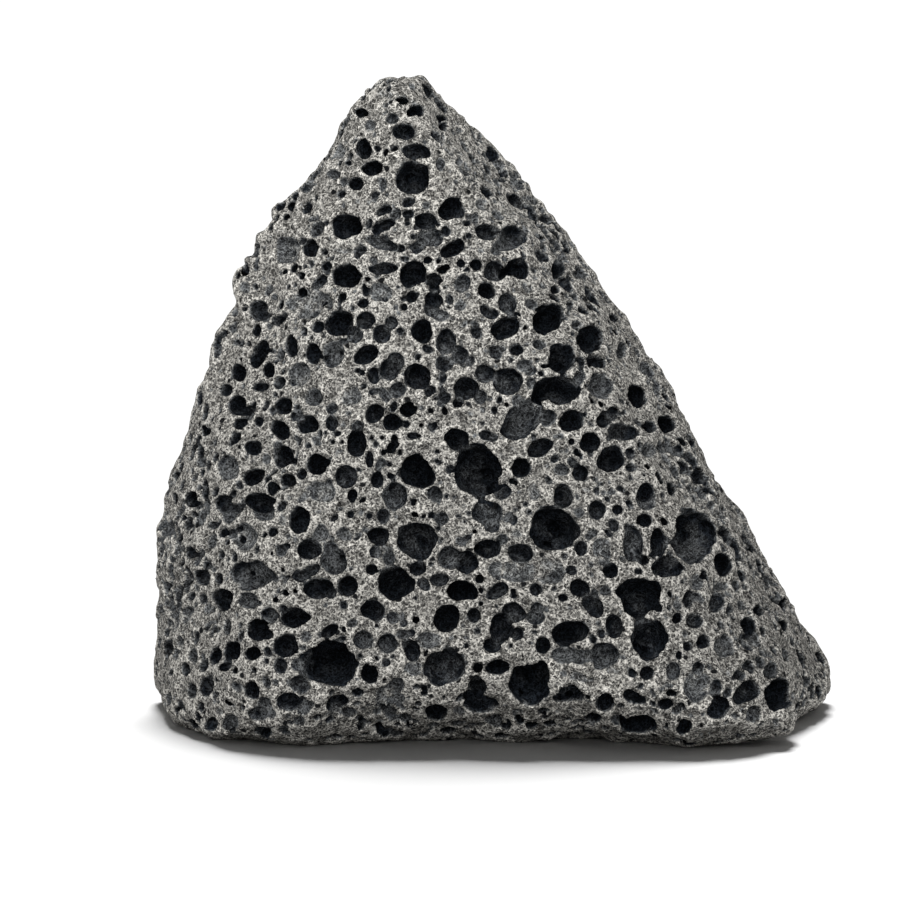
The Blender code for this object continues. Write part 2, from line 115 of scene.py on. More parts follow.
UPPER_PITS = [
    (-33.4, 78.4, 6.8, 6.0, 0, SHALLOW), (-41.7, 77.2, 3.5, 3.6, 0, MID), (-42.0, 73.6, 1.5, 2.2, 0, DEEP),
    (-39.9, 74.3, 1.0, 1.3, 0, MID), (-27.7, 75.0, 5.3, 4.5, 30, DEEP), (-22.6, 75.4, 3.6, 3.2, 0, DEEP),
    (-9.3, 76.3, 3.2, 2.3, 0, MID), (-19.9, 73.1, 3.7, 3.9, 0, DEEP), (-12.7, 73.6, 3.5, 3.9, 0, DEEP),
    (-26.8, 71.9, 2.2, 1.5, 0, DEEP), (2.0, 74.0, 5.0, 3.3, 25, DEEP), (9.8, 75.6, 5.8, 5.0, 35, DEEP),
    (14.8, 74.5, 2.2, 2.2, 0, MID), (17.6, 72.4, 5.6, 4.9, 25, DEEP), (13.7, 78.2, 1.5, 1.7, 0, MID),
    (21.2, 75.8, 1.8, 1.5, 0, MID), (23.3, 70.4, 1.8, 2.7, 0, MID), (-8.4, 71.9, 3.9, 4.8, 0, DEEP),
    (4.0, 70.4, 2.5, 2.2, 0, DEEP), (8.2, 71.3, 2.5, 1.6, 0, MID), (-3.8, 70.1, 1.4, 1.0, 0, MID),
    (12.5, 68.9, 4.2, 4.3, 0, DEEP), (18.7, 68.3, 4.4, 2.7, 0, DEEP), (-36.0, 71.0, 2.4, 3.7, 0, DEEP),
    (-41.5, 69.4, 3.0, 5.1, -25, DEEP), (-45.2, 66.2, 3.0, 2.7, 0, DEEP), (-39.9, 66.6, 2.0, 2.8, -20, DEEP),
    (-38.0, 64.4, 2.2, 2.5, 0, MID), (-28.8, 69.6, 5.0, 5.0, 0, MID), (-32.3, 69.7, 2.9, 3.9, 0, DEEP),
    (-22.4, 69.4, 4.4, 2.8, 30, DEEP), (-8.6, 68.0, 3.4, 3.2, 0, DEEP), (-18.5, 66.7, 3.9, 3.9, 0, DEEP),
    (-17.3, 68.3, 2.8, 3.2, 0, MID), (-21.2, 65.7, 2.3, 3.2, 0, DEEP), (-13.5, 65.7, 4.1, 4.1, 0, DEEP),
    (-17.1, 63.0, 3.2, 2.8, 0, MID), (-20.6, 63.0, 1.8, 0.9, 0, DEEP), (-34.6, 65.7, 4.2, 4.5, 0, SHALLOW),
    (-41.2, 63.7, 2.8, 1.5, 0, DEEP), (-47.7, 63.2, 2.0, 1.9, 0, DEEP), (-1.5, 66.2, 3.5, 3.2, 0, DEEP),
    (-4.9, 63.5, 4.4, 4.2, 0, DEEP), (-2.4, 62.0, 2.3, 2.5, 0, DEEP), (2.7, 64.8, 5.9, 6.2, 0, MID),
    (6.6, 64.3, 1.8, 2.3, 0, MID), (11.8, 63.0, 7.3, 4.7, 0, DEEP), (19.2, 63.9, 5.6, 5.6, 0, SHALLOW),
    (25.6, 62.0, 3.2, 3.9, 0, DEEP), (2.4, 60.4, 1.4, 1.1, 0, DEEP),
]
MIDDLE_PITS = [
    (-45.6, 60.5, 3.0, 3.2, 0, DEEP), (-44.9, 57.2, 2.3, 2.3, 0, DEEP), (-32.5, 62.0, 3.4, 3.7, 0, MID),
    (-37.1, 60.0, 2.7, 3.2, 0, DEEP), (-25.6, 61.8, 4.8, 4.9, 0, SHALLOW), (-28.9, 60.0, 2.2, 2.2, 0, DEEP),
    (-21.2, 58.8, 3.2, 2.8, 30, DEEP), (-15.0, 59.6, 3.0, 2.5, 0, DEEP), (-18.0, 57.3, 3.0, 2.8, 0, DEEP),
    (-37.6, 55.9, 4.7, 3.2, -30, DEEP), (-33.2, 57.0, 3.4, 3.0, 0, DEEP), (-28.8, 57.2, 2.3, 3.0, 0, DEEP),
    (4.9, 57.7, 8.8, 5.6, 45, MID), (13.9, 57.7, 3.9, 3.5, 0, DEEP), (19.6, 58.1, 3.0, 3.0, 0, DEEP),
    (23.5, 55.8, 5.6, 3.6, 0, MID), (27.9, 56.6, 2.5, 2.7, 0, MID), (31.1, 57.3, 3.2, 2.8, -30, DEEP),
    (17.1, 54.0, 3.2, 3.0, 0, DEEP), (8.1, 52.6, 5.6, 3.0, 25, DEEP), (-6.8, 54.5, 4.8, 4.1, 0, DEEP),
    (-1.5, 55.2, 2.1, 1.6, 0, DEEP), (-13.9, 54.9, 2.5, 1.1, 0, MID), (-42.7, 52.9, 2.5, 2.2, 0, DEEP),
    (-37.6, 51.5, 4.2, 4.2, 0, DEEP), (-24.2, 53.6, 3.9, 5.3, 0, DEEP), (-21.9, 50.8, 1.5, 3.2, 0, DEEP),
    (21.2, 51.0, 4.2, 3.9, 0, DEEP), (24.5, 49.4, 1.8, 1.5, 0, DEEP), (28.1, 52.4, 3.9, 3.2, 0, SHALLOW),
    (-31.2, 49.9, 3.4, 4.1, 0, DEEP), (-26.1, 47.8, 4.1, 4.4, 0, MID), (-47.0, 49.2, 3.9, 4.6, 0, SHALLOW),
    (-42.6, 47.6, 4.2, 3.7, 0, DEEP), (-36.6, 47.1, 2.5, 2.0, 0, DEEP), (-39.0, 45.5, 2.1, 2.7, 0, DEEP),
    (-20.6, 47.1, 2.1, 2.8, 0, DEEP), (-24.9, 44.3, 2.1, 2.5, 0, DEEP), (-13.4, 48.7, 6.4, 6.7, 0, DEEP),
    (-2.9, 48.5, 8.6, 9.2, 35, DEEP), (4.9, 49.4, 4.2, 3.9, 0, DEEP), (12.1, 48.9, 2.7, 2.1, 0, MID),
    (15.3, 48.3, 2.7, 2.7, 0, DEEP), (12.3, 44.4, 3.2, 3.9, 0, DEEP), (16.4, 45.1, 2.5, 2.1, 0, SHALLOW),
    (18.3, 45.3, 1.1, 1.5, 0, DEEP), (31.6, 45.7, 2.2, 2.2, 0, DEEP), (1.7, 45.0, 3.7, 3.2, 0, MID),
    (7.0, 45.3, 2.7, 3.9, 0, SHALLOW), (-31.1, 45.0, 6.4, 4.2, 0, SHALLOW), (-17.3, 44.4, 5.0, 5.3, 0, MID),
    (-51.2, 45.5, 1.5, 3.9, 0, DEEP), (-51.9, 52.4, 1.1, 2.2, 0, DEEP), (-51.1, 59.1, 1.4, 3.5, 0, MID),
    (-48.1, 43.0, 2.7, 2.7, 0, DEEP), (-46.8, 41.2, 3.4, 3.9, 0, MID), (-41.7, 43.5, 5.6, 3.5, 0, DEEP),
    (-40.8, 41.4, 3.9, 3.2, 0, MID), (18.3, 41.8, 2.6, 3.0, 0, DEEP), (27.3, 44.1, 3.9, 4.2, 0, SHALLOW),
]
LOWER_PITS = [
    (-34.4, 40.4, 3.9, 5.3, 0, DEEP), (-37.4, 40.2, 2.1, 2.5, 0, SHALLOW), (-49.8, 39.1, 2.1, 1.2, 0, DEEP),
    (-39.2, 37.9, 1.4, 1.6, 0, DEEP), (-44.0, 37.2, 6.0, 5.7, 0, SHALLOW), (-36.6, 35.4, 1.4, 1.1, 0, DEEP),
    (-53.5, 34.3, 2.1, 2.1, 0, MID), (-20.4, 37.3, 3.9, 3.5, 0, DEEP), (-9.3, 40.4, 2.3, 2.3, 0, MID),
    (-1.2, 41.4, 5.8, 4.2, 0, MID), (-0.3, 38.9, 2.3, 2.1, 0, DEEP), (10.5, 38.6, 8.1, 7.1, 0, DEEP),
    (4.0, 37.7, 2.5, 2.5, 0, SHALLOW), (-13.4, 36.5, 7.1, 6.7, 0, MID), (26.8, 40.0, 2.5, 2.1, 0, DEEP),
    (24.7, 35.9, 3.2, 5.6, 0, MID), (29.3, 36.3, 3.2, 5.6, 0, DEEP), (35.5, 37.9, 8.1, 10.0, 0, DISH),
    (19.6, 34.9, 4.2, 3.9, 0, SHALLOW), (-26.3, 37.3, 3.2, 2.5, 0, SHALLOW), (-32.8, 34.7, 4.6, 3.5, 0, DEEP),
    (-28.2, 32.9, 4.8, 5.0, 0, MID), (-20.8, 34.5, 2.8, 2.5, 0, MID), (-18.5, 33.5, 2.1, 2.5, 0, DEEP),
    (-1.2, 34.9, 5.0, 3.7, 0, DEEP), (-7.9, 33.6, 3.9, 3.9, 0, MID), (-4.5, 32.6, 4.4, 4.4, 0, DEEP),
    (4.7, 34.3, 3.9, 2.8, 0, DEEP), (4.9, 31.2, 8.1, 4.6, 0, SHALLOW), (0.6, 31.5, 3.5, 3.2, 0, SHALLOW),
    (-13.4, 31.5, 3.2, 2.7, 0, DEEP), (-21.5, 31.3, 1.9, 1.6, 0, DEEP), (-33.0, 30.8, 4.8, 2.1, 30, DEEP),
    (-9.5, 29.4, 3.5, 2.3, 0, MID), (-2.4, 29.6, 1.8, 1.8, 0, DEEP), (10.0, 31.5, 6.0, 6.0, 0, SHALLOW),
    (31.2, 31.9, 6.0, 3.9, 0, DEEP), (40.8, 32.2, 3.2, 4.1, 0, DEEP), (-43.6, 30.3, 8.1, 5.0, 0, MID),
    (-51.8, 29.9, 3.0, 2.8, 0, MID), (-48.8, 29.7, 1.4, 1.8, 0, DEEP), (-49.8, 31.3, 1.1, 1.2, 0, MID),
    (36.0, 29.2, 2.7, 3.0, 0, SHALLOW), (40.6, 28.5, 2.5, 1.6, 0, MID), (43.1, 28.5, 1.8, 2.1, 0, MID),
    (-17.3, 28.7, 6.4, 5.8, 0, DEEP), (-5.6, 27.4, 6.0, 4.2, 0, DEEP), (0.6, 27.4, 4.8, 2.7, 25, MID),
    (7.5, 27.8, 2.3, 2.3, 0, DEEP), (15.1, 28.0, 3.2, 2.8, 0, DEEP), (25.9, 26.4, 8.5, 6.7, 0, DEEP),
    (-48.2, 26.0, 4.1, 4.1, 0, DEEP), (-43.8, 25.7, 4.8, 3.2, 0, MID), (-31.1, 28.0, 5.0, 3.5, 0, DEEP),
    (-28.9, 27.3, 2.1, 2.1, 0, DEEP), (-25.8, 28.5, 3.7, 3.5, 0, DEEP), (18.0, 24.4, 2.7, 3.2, 30, DEEP),
    (-26.6, 25.0, 1.6, 1.6, 0, DEEP), (-28.4, 23.9, 1.8, 1.4, 0, SHALLOW), (-50.5, 24.4, 1.8, 2.1, 0, MID),
    (-21.3, 24.1, 4.2, 3.5, 0, DEEP), (-17.8, 22.8, 2.7, 2.5, 0, MID), (-13.7, 22.3, 1.4, 1.6, 0, DEEP),
    (39.6, 25.5, 2.7, 3.2, 0, MID), (47.3, 24.2, 2.1, 2.1, 0, MID),
]
FOOT_PITS = [
    (-35.5, 22.8, 5.0, 3.4, 0, DEEP), (-42.0, 20.5, 4.2, 4.2, 0, DEEP), (-39.9, 23.2, 3.5, 3.2, 0, MID),
    (-40.1, 19.8, 2.1, 1.8, 0, DEEP), (-8.4, 22.7, 5.7, 4.4, 35, DEEP), (21.3, 21.4, 2.8, 4.2, 0, DEEP),
    (36.0, 22.3, 3.2, 2.7, 0, MID), (7.5, 22.8, 3.5, 3.2, 0, MID), (7.3, 20.2, 1.4, 0.9, 0, DEEP),
    (3.5, 23.7, 4.6, 3.9, 0, MID), (1.2, 20.9, 4.2, 6.0, 0, DEEP), (-0.4, 17.7, 2.7, 2.5, 0, DEEP),
    (4.2, 19.8, 2.5, 2.5, 0, DEEP), (-28.9, 20.4, 3.6, 2.3, 30, DEEP), (-26.8, 19.1, 1.8, 1.1, 0, DEEP),
    (-23.1, 18.8, 3.5, 3.2, 0, MID), (-33.4, 19.3, 2.5, 2.1, 0, SHALLOW), (27.7, 19.1, 6.4, 7.4, 0, DEEP),
    (13.5, 20.2, 7.4, 4.6, 15, DEEP), (8.8, 17.9, 3.2, 3.2, 0, DEEP), (12.8, 16.3, 6.0, 3.2, 0, MID),
    (19.7, 16.1, 4.6, 4.2, 0, MID), (37.4, 18.6, 2.3, 2.3, 0, DEEP), (34.4, 17.7, 1.6, 1.6, 0, DEEP),
    (41.2, 17.9, 3.9, 4.2, 0, SHALLOW), (45.4, 21.4, 2.3, 3.0, 0, DEEP), (46.3, 19.1, 2.5, 2.5, 0, SHALLOW),
    (51.2, 21.1, 1.8, 2.3, 0, MID), (51.8, 16.6, 2.5, 3.5, 0, SHALLOW), (-18.7, 18.2, 3.9, 4.2, 0, MID),
    (-16.2, 19.8, 2.7, 1.9, 0, MID), (-37.1, 17.9, 4.6, 3.9, 0, DEEP), (-46.5, 16.8, 3.2, 3.4, 0, DEEP),
    (-42.7, 16.3, 2.7, 2.3, 0, DEEP), (-49.6, 15.8, 2.5, 3.0, 0, DEEP), (-53.7, 16.1, 1.8, 2.7, 0, MID),
    (-55.0, 13.6, 1.4, 2.1, 0, DEEP), (-38.1, 14.3, 2.1, 2.7, 0, DEEP), (-35.0, 14.5, 2.1, 2.1, 0, DEEP),
    (-28.8, 14.7, 9.9, 7.4, 0, DEEP), (-14.4, 16.8, 3.0, 3.9, 0, DEEP), (-14.2, 13.8, 3.9, 3.2, 0, SHALLOW),
    (-8.6, 13.5, 8.1, 7.4, 0, MID), (-10.7, 13.6, 3.2, 3.9, 0, DEEP), (-11.2, 18.8, 5.3, 3.2, 0, SHALLOW),
    (-21.9, 12.9, 3.5, 4.4, 0, DEEP), (-19.0, 14.7, 1.8, 1.6, 0, MID), (0.8, 14.0, 4.2, 2.8, 0, DEEP),
    (21.7, 13.1, 1.6, 0.9, 0, DEEP), (24.7, 12.9, 1.6, 1.8, 0, DEEP), (27.2, 12.9, 2.5, 2.3, 0, DEEP),
    (31.8, 13.3, 2.5, 3.2, 0, MID), (36.4, 14.0, 1.9, 2.1, 0, DEEP), (36.6, 10.8, 6.0, 5.7, 0, SHALLOW),
    (49.5, 13.5, 2.8, 2.1, 30, DEEP), (43.6, 12.6, 2.5, 1.6, 0, MID), (6.1, 10.4, 7.4, 7.4, 0, DEEP),
    (-2.7, 10.3, 3.5, 3.9, 0, DEEP), (-2.4, 7.1, 7.4, 3.2, 0, DEEP), (-6.1, 6.0, 2.5, 2.1, 0, SHALLOW),
    (15.1, 12.0, 5.0, 2.3, -20, SHALLOW), (13.0, 8.7, 5.0, 3.9, 0, DEEP), (-17.1, 10.6, 2.7, 2.8, 0, MID),
    (-19.7, 9.0, 2.1, 2.5, 0, MID), (-43.1, 9.9, 2.8, 3.2, 0, DEEP), (-45.0, 10.4, 1.8, 2.1, 0, SHALLOW),
    (-51.1, 10.3, 2.5, 3.2, 0, MID), (-45.6, 13.3, 1.2, 1.4, 0, MID), (-57.3, 13.1, 1.4, 1.4, 0, MID),
    (-53.7, 9.9, 2.1, 2.5, 0, MID), (51.8, 9.9, 4.6, 5.0, 0, DEEP), (45.2, 9.7, 4.6, 3.2, 30, DEEP),
    (39.6, 10.4, 1.8, 2.8, -20, DEEP), (-36.4, 7.4, 4.2, 2.8, 0, DEEP), (-27.7, 7.3, 4.2, 3.0, 30, DEEP),
    (-25.4, 5.5, 3.0, 2.3, 0, MID), (-10.2, 6.0, 3.9, 3.4, 0, DEEP), (19.7, 7.4, 2.8, 3.2, 0, DEEP),
    (25.0, 8.3, 4.4, 2.1, -30, DEEP), (30.4, 7.3, 2.8, 2.1, 0, DEEP), (31.6, 9.4, 2.1, 1.2, 0, DEEP),
    (40.1, 6.2, 3.9, 3.5, 0, DEEP), (46.3, 5.3, 3.2, 3.5, 0, MID), (-42.0, 5.3, 3.5, 2.5, 0, MID),
    (-39.9, 5.5, 2.1, 1.8, 0, MID), (-48.8, 6.0, 3.2, 2.1, 0, SHALLOW), (-46.8, 3.7, 3.2, 3.5, 0, MID),
    (-50.2, 3.7, 2.5, 2.8, 0, MID), (-53.2, 3.7, 2.5, 1.8, 0, MID), (17.6, 4.8, 3.0, 2.1, 0, DEEP),
    (25.4, 3.4, 6.0, 3.2, 0, DEEP), (33.7, 3.2, 2.8, 2.5, 0, MID), (6.8, 3.7, 2.1, 1.2, 0, DEEP),
    (10.0, 3.7, 2.1, 1.1, 0, DEEP), (4.2, 5.8, 2.5, 1.8, 0, SHALLOW),
]

FRONT_PITS = CROWN_PITS + UPPER_PITS + MIDDLE_PITS + LOWER_PITS + FOOT_PITS


def unit(rows: Array) -> Array:
    """Rows scaled to a length of one."""
    return rows / np.linalg.norm(rows, axis=-1, keepdims=True)


@dataclass(frozen=True)
class Sight:
    """The long sight line that the front bubbles are set out on, in mm and degrees.

    Attributes:
        distance: from the eye to the aim.
        pitch: how steeply the line looks down.
        aim: the point that it passes through.
        aim_up: height of the aim on the tables' own upright scale.
    """

    distance: float = 700.0
    pitch: float = 8.0
    aim: tuple[float, float, float] = (-7.7, 0.0, 47.0)
    aim_up: float = 52.4

    @property
    def inward(self) -> Array:
        """Direction from the eye to the aim."""
        pitch = np.radians(self.pitch)
        return np.array([0.0, np.cos(pitch), -np.sin(pitch)])

    @property
    def right(self) -> Array:
        """Direction to the right across the sight plane."""
        return np.array([1.0, 0.0, 0.0])

    @property
    def up(self) -> Array:
        """Direction up the sight plane."""
        return np.cross(self.right, self.inward)

    @property
    def eye(self) -> Array:
        """Where the eye stands."""
        return np.array(self.aim) - self.inward * self.distance


@dataclass
class Bubbles:
    """A batch of ellipsoids.

    Attributes:
        middles: (n, 3) centres in mm.
        axes: (n, 3, 3) matrices whose columns are the half axes in mm.
    """

    middles: Array
    axes: Array

    def __len__(self) -> int:
        """How many bubbles there are."""
        return len(self.middles)

    def joined(self, other: "Bubbles") -> "Bubbles":
        """This batch followed by another one."""
        return Bubbles(np.concatenate([self.middles, other.middles]),
                       np.concatenate([self.axes, other.axes]))

    def chosen(self, keep: Array) -> "Bubbles":
        """The bubbles whose flags are true."""
        return Bubbles(self.middles[keep], self.axes[keep])


@dataclass
class Skin:
    """The stone before any bubble is cut.

    The value at a point is below zero inside.  It is the smooth maximum
    r * log(sum(exp(d / r))) of the distances d to the cleavage planes, less
    a Gaussian for each swelling, plus a few long sine waves.

    Attributes:
        heart: a point deep inside, which the planes are measured from.
        rounding: how widely two planes blend, in mm.
        planes: name, bearing and tilt in degrees, and distance from the heart.
        swellings: x, y, z, reach and height in mm of the large ones.
        weathering: the same for weather-beaten edges and corners.
    """

    heart: tuple[float, float, float] = (0.0, 0.0, 38.0)
    rounding: float = 2.4
    planes: tuple[tuple[str, float, float, float], ...] = (
        ("front", -1.0, 17.0, 30.5),
        ("front_left", -40.0, 21.0, 42.5),
        ("front_right", 50.0, 29.0, 35.5),
        ("left_low", -73.0, 4.0, 55.5),
        ("left_mid", -71.0, 17.0, 55.0),
        ("left_high", -70.0, 36.0, 62.0),
        ("right_low", 78.0, 29.5, 36.5),
        ("right_mid", 78.0, 33.0, 38.0),
        ("right_high", 76.0, 40.5, 40.5),
        ("back_left", -150.0, 12.0, 30.0),
        ("back_right", 150.0, 14.0, 27.5),
        ("back_high", 175.0, 38.0, 54.0),
        ("crown", 55.0, 74.0, 70.0),
        ("under", 0.0, -90.0, 39.5),
        ("heel_left", -80.0, -40.0, 69.0),
        ("heel_right", 88.0, -35.0, 69.5),
        ("heel_front", 0.0, -50.0, 49.0),
    )
    swellings: tuple[tuple[float, float, float, float, float], ...] = (
        (-45.0, 0.0, 85.0, 8.0, 1.5),
        (-36.0, -2.0, 96.0, 9.0, -0.6),
        (-26.0, -2.0, 107.0, 5.0, 0.6),
        (-51.0, 2.0, 68.0, 6.0, 0.5),
        (-55.0, 4.0, 46.0, 7.0, 0.8),
        (-60.0, 6.0, 8.0, 9.0, 1.6),
        (-4.0, -2.0, 105.0, 6.0, -3.0),
        (2.0, 0.0, 99.0, 6.0, -2.3),
        (11.0, 0.0, 88.0, 6.0, -1.5),
        (29.0, 0.0, 66.0, 7.0, 1.6),
        (40.0, 4.0, 42.0, 7.0, -0.5),
        (49.0, 4.0, 26.0, 7.0, 0.9),
        (60.0, 6.0, 6.0, 5.0, 1.3),
        (-2.0, -38.0, 0.0, 7.0, -5.0),
        (-19.0, -37.0, 0.0, 7.0, -4.5),
        (13.0, -37.0, 0.0, 6.0, -3.5),
        (32.0, -34.0, 3.0, 8.0, 1.0),
        (10.0, 30.0, 40.0, 14.0, 1.5),
        (-25.0, 22.0, 55.0, 12.0, -1.5),
        (30.0, 28.0, 15.0, 12.0, 1.5),
    )
    weathering: tuple[tuple[float, float, float, float, float], ...] = (
        (-50.0, 0.0, 60.0, 12.0, 0.6), (-54.0, -14.0, 1.0, 7.0, 0.5), (60.5, 0.0, 11.0, 6.0, -1.6),
        (56.0, -19.5, -3.0, 6.8, -4.6), (61.5, -5.0, 5.5, 3.8, 2.0), (25.0, 4.0, 70.0, 6.0, -0.8),
        (3.0, 0.0, 99.0, 8.0, -1.5), (30.0, 0.0, 59.0, 10.0, 1.0), (-44.0, -39.0, 8.0, 5.5, -1.1),
        (-33.0, -41.0, 9.0, 5.0, -0.8), (-22.0, -41.0, 8.0, 5.5, -1.1), (-11.0, -41.0, 9.0, 5.0, -0.9),
        (0.0, -41.0, 8.0, 5.5, -1.2), (11.0, -41.0, 9.0, 5.0, -0.8), (22.0, -41.0, 8.0, 5.5, -1.1),
    )
    # Long waves of the skin: longest, shortest and highest
    roll_seed: int = 11
    roll_waves: int = 14
    roll_long: float = 46.0
    roll_short: float = 15.0
    roll_height: float = 0.32
    # Step that slopes are measured over, distance from the heart that no part
    # reaches, depth and step searched along a ray, and halvings that find the skin
    slope_step: float = 0.4
    span: float = 140.0
    look_span: float = 80.0
    look_step: float = 0.5
    halvings: int = 22
    ray_halvings: int = 24

    def __post_init__(self) -> None:
        """Work out the planes' directions and the waves once."""
        turn = np.radians([row[1] for row in self.planes])
        tilt = np.radians([row[2] for row in self.planes])
        flat = np.cos(tilt)
        self.normals = np.stack([np.sin(turn) * flat, -np.cos(turn) * flat, np.sin(tilt)], axis=1)
        self.reaches = np.array([row[3] for row in self.planes])
        rng = np.random.default_rng(self.roll_seed)
        ways = unit(rng.normal(size=(self.roll_waves, 3)))
        lengths = np.geomspace(self.roll_long, self.roll_short, self.roll_waves)
        self.starts = rng.uniform(0.0, 2.0 * np.pi, self.roll_waves)
        self.heights = self.roll_height * (lengths / self.roll_long) ** 0.5
        self.numbers = ways * (2.0 * np.pi / lengths)[:, None]

    def at(self, points: Array) -> Array:
        """Value of the skin's field at points.

        Args:
            points: (..., 3) places in mm.

        Returns:
            (...) values in mm, below zero inside.
        """
        planes = (points - np.array(self.heart)) @ self.normals.T - self.reaches
        top = planes.max(axis=-1)
        spread = np.exp((planes - top[..., None]) / self.rounding).sum(axis=-1)
        value = top + self.rounding * np.log(spread)
        for x, y, z, reach, height in self.swellings + self.weathering:
            away = ((points - np.array([x, y, z])) ** 2).sum(axis=-1)
            value = value - height * np.exp(-away / (2.0 * reach * reach))
        return value + (np.sin(points @ self.numbers.T + self.starts) * self.heights).sum(axis=-1)

    def on(self, lattice: "Lattice") -> Array:
        """The same field over a whole lattice.

        Exponentials, Gaussians and waves of a sum of x, y and z parts are
        products of one row for each axis, so each term is an outer product.

        Args:
            lattice: where the values are wanted.

        Returns:
            (nx, ny, nz) values in mm.
        """
        axes = lattice.axes()
        total = np.zeros(lattice.shape, np.float32)
        for normal, reach in zip(self.normals, self.reaches):
            offsets = (0.0, 0.0, (reach + normal @ np.array(self.heart)) / self.rounding)
            total += outer(*(np.exp(axis * part / self.rounding - offset)
                             for axis, part, offset in zip(axes, normal, offsets)))
        np.log(total, out=total)
        total *= np.float32(self.rounding)
        for x, y, z, reach, height in self.swellings + self.weathering:
            rows = [np.exp(-(axis - middle) ** 2 / (2.0 * reach * reach))
                    for axis, middle in zip(axes, (x, y, z))]
            total -= outer(rows[0] * height, rows[1], rows[2])
        for number, start, height in zip(self.numbers, self.starts, self.heights):
            rows = [np.exp(1j * (axis * part + offset))
                    for axis, part, offset in zip(axes, number, (start, 0.0, 0.0))]
            total += outer(rows[0] * height, rows[1], rows[2]).imag
        return total

    def outward(self, points: Array) -> Array:
        """Unit outward normals of the field at (n, 3) points."""
        steps = np.eye(3) * self.slope_step
        return unit(np.stack([self.at(points + row) - self.at(points - row) for row in steps], axis=-1))

    def along(self, ways: Array) -> Array:
        """Where rays from the heart leave the skin, found by halving.

        Args:
            ways: (n, 3) unit directions.

        Returns:
            (n, 3) points on the skin.
        """
        heart = np.array(self.heart)
        near = np.zeros(len(ways))
        far = np.full(len(ways), self.span)
        for _ in range(self.halvings):
            half = (near + far) / 2.0
            inside = self.at(heart + ways * half[:, None]) < 0.0
            near = np.where(inside, half, near)
            far = np.where(inside, far, half)
        return heart + ways * near[:, None]

    def met_by(self, eye: Array, rays: Array, reach: float) -> tuple[Array, Array]:
        """Where rays from an eye first meet the skin.

        Args:
            eye: where every ray starts.
            rays: (n, 3) unit directions.
            reach: distance from the eye to the middle of the stone.

        Returns:
            (n, 3) points, and (n,) flags that are true for a ray that hits.
        """
        steps = reach + np.arange(-self.look_span, self.look_span, self.look_step)
        inside = self.at(eye + rays[:, None, :] * steps[:, None]) < 0.0
        first = inside.argmax(axis=1)
        far = steps[first]
        near = steps[np.maximum(first - 1, 0)]
        for _ in range(self.ray_halvings):
            half = (near + far) / 2.0
            within = self.at(eye + rays * half[:, None]) < 0.0
            far = np.where(within, half, far)
            near = np.where(within, near, half)
        return eye + rays * far[:, None], inside.any(axis=1)


def outer(first: Array, second: Array, third: Array) -> Array:
    """Product f(x) g(y) h(z) of three rows.

    Args:
        first, second, third: (nx,), (ny,) and (nz,) values.

    Returns:
        (nx, ny, nz) products.
    """
    kind = np.complex64 if np.iscomplexobj(first) else np.float32
    plane = (first[:, None] * second[None, :]).astype(kind)
    return plane[:, :, None] * third.astype(kind)[None, None, :]


@dataclass(frozen=True)
class Grain:
    """A smooth random field.

    Attributes:
        seed: seed of its random values.
        size: spacing of its lumps, in mm.
        height: their usual height.
    """

    seed: int
    size: float
    height: float


@dataclass
class Lattice:
    """A regular lattice of sample points round the stone.

    Attributes:
        low, high: its two corners, in mm.
        step: distance between neighbours, in mm.
        spread: spread of the coarse random values behind a grain.
    """

    low: tuple[float, float, float] = (-63.5, -43.5, -2.5)
    high: tuple[float, float, float] = (64.5, 43.5, 116.0)
    step: float = 0.36
    spread: float = 1.9

    @property
    def shape(self) -> tuple[int, int, int]:
        """Number of samples along each axis."""
        return tuple(int((b - a) / self.step) + 2 for a, b in zip(self.low, self.high))

    def axes(self) -> list[Array]:
        """The three rows of sample coordinates."""
        return [a + self.step * np.arange(n) for a, n in zip(self.low, self.shape)]

    def block(self, middle: Array, reach: Array) -> tuple[tuple[slice, ...], list[Array]]:
        """The samples within reach of a middle.

        Args:
            middle: the middle, in mm.
            reach: half the block's size along each axis, in mm.

        Returns:
            The slices, and the three rows of coordinates from the middle.
        """
        low = np.array(self.low)
        first = np.maximum(np.floor((middle - reach - low) / self.step).astype(int), 0)
        last = np.minimum(np.ceil((middle + reach - low) / self.step).astype(int) + 1, self.shape)
        cut = tuple(slice(a, max(a, b)) for a, b in zip(first, last))
        rows = [low[i] + self.step * np.arange(cut[i].start, cut[i].stop) - middle[i] for i in range(3)]
        return cut, rows

    def grain(self, grain: Grain) -> Array:
        """A grain as a coarse random lattice blended by cubic splines.

        Args:
            grain: the grain.

        Returns:
            (nx, ny, nz) values.
        """
        rng = np.random.default_rng(grain.seed)
        counts = [int((n - 1) * self.step / grain.size) + 5 for n in self.shape]
        values = rng.normal(size=counts).astype(np.float32) * np.float32(self.spread)
        for axis, count in enumerate(self.shape):
            place = np.arange(count) * self.step / grain.size + 1.0
            first = np.floor(place).astype(int) - 1
            line = [count if i == axis else 1 for i in range(3)]
            values = sum(np.take(values, first + i, axis=axis) * weights.reshape(line)
                         for i, weights in enumerate(spline_weights(place - first - 1)))
        return values * np.float32(grain.height)

    def sample(self, values: Array, points: Array) -> Array:
        """Values at points, blended from the eight samples round each point.

        Args:
            values: (nx, ny, nz) values on the lattice.
            points: (n, 3) places in mm.

        Returns:
            (n,) blended values.
        """
        place = (points - np.array(self.low)) / self.step
        cell = np.clip(np.floor(place).astype(int), 0, np.array(self.shape) - 2)
        part = place - cell
        total = np.zeros(len(points))
        for corner in np.ndindex(2, 2, 2):
            share = np.where(corner, part, 1.0 - part).prod(axis=1)
            spot = cell + corner
            total += share * values[spot[:, 0], spot[:, 1], spot[:, 2]]
        return total


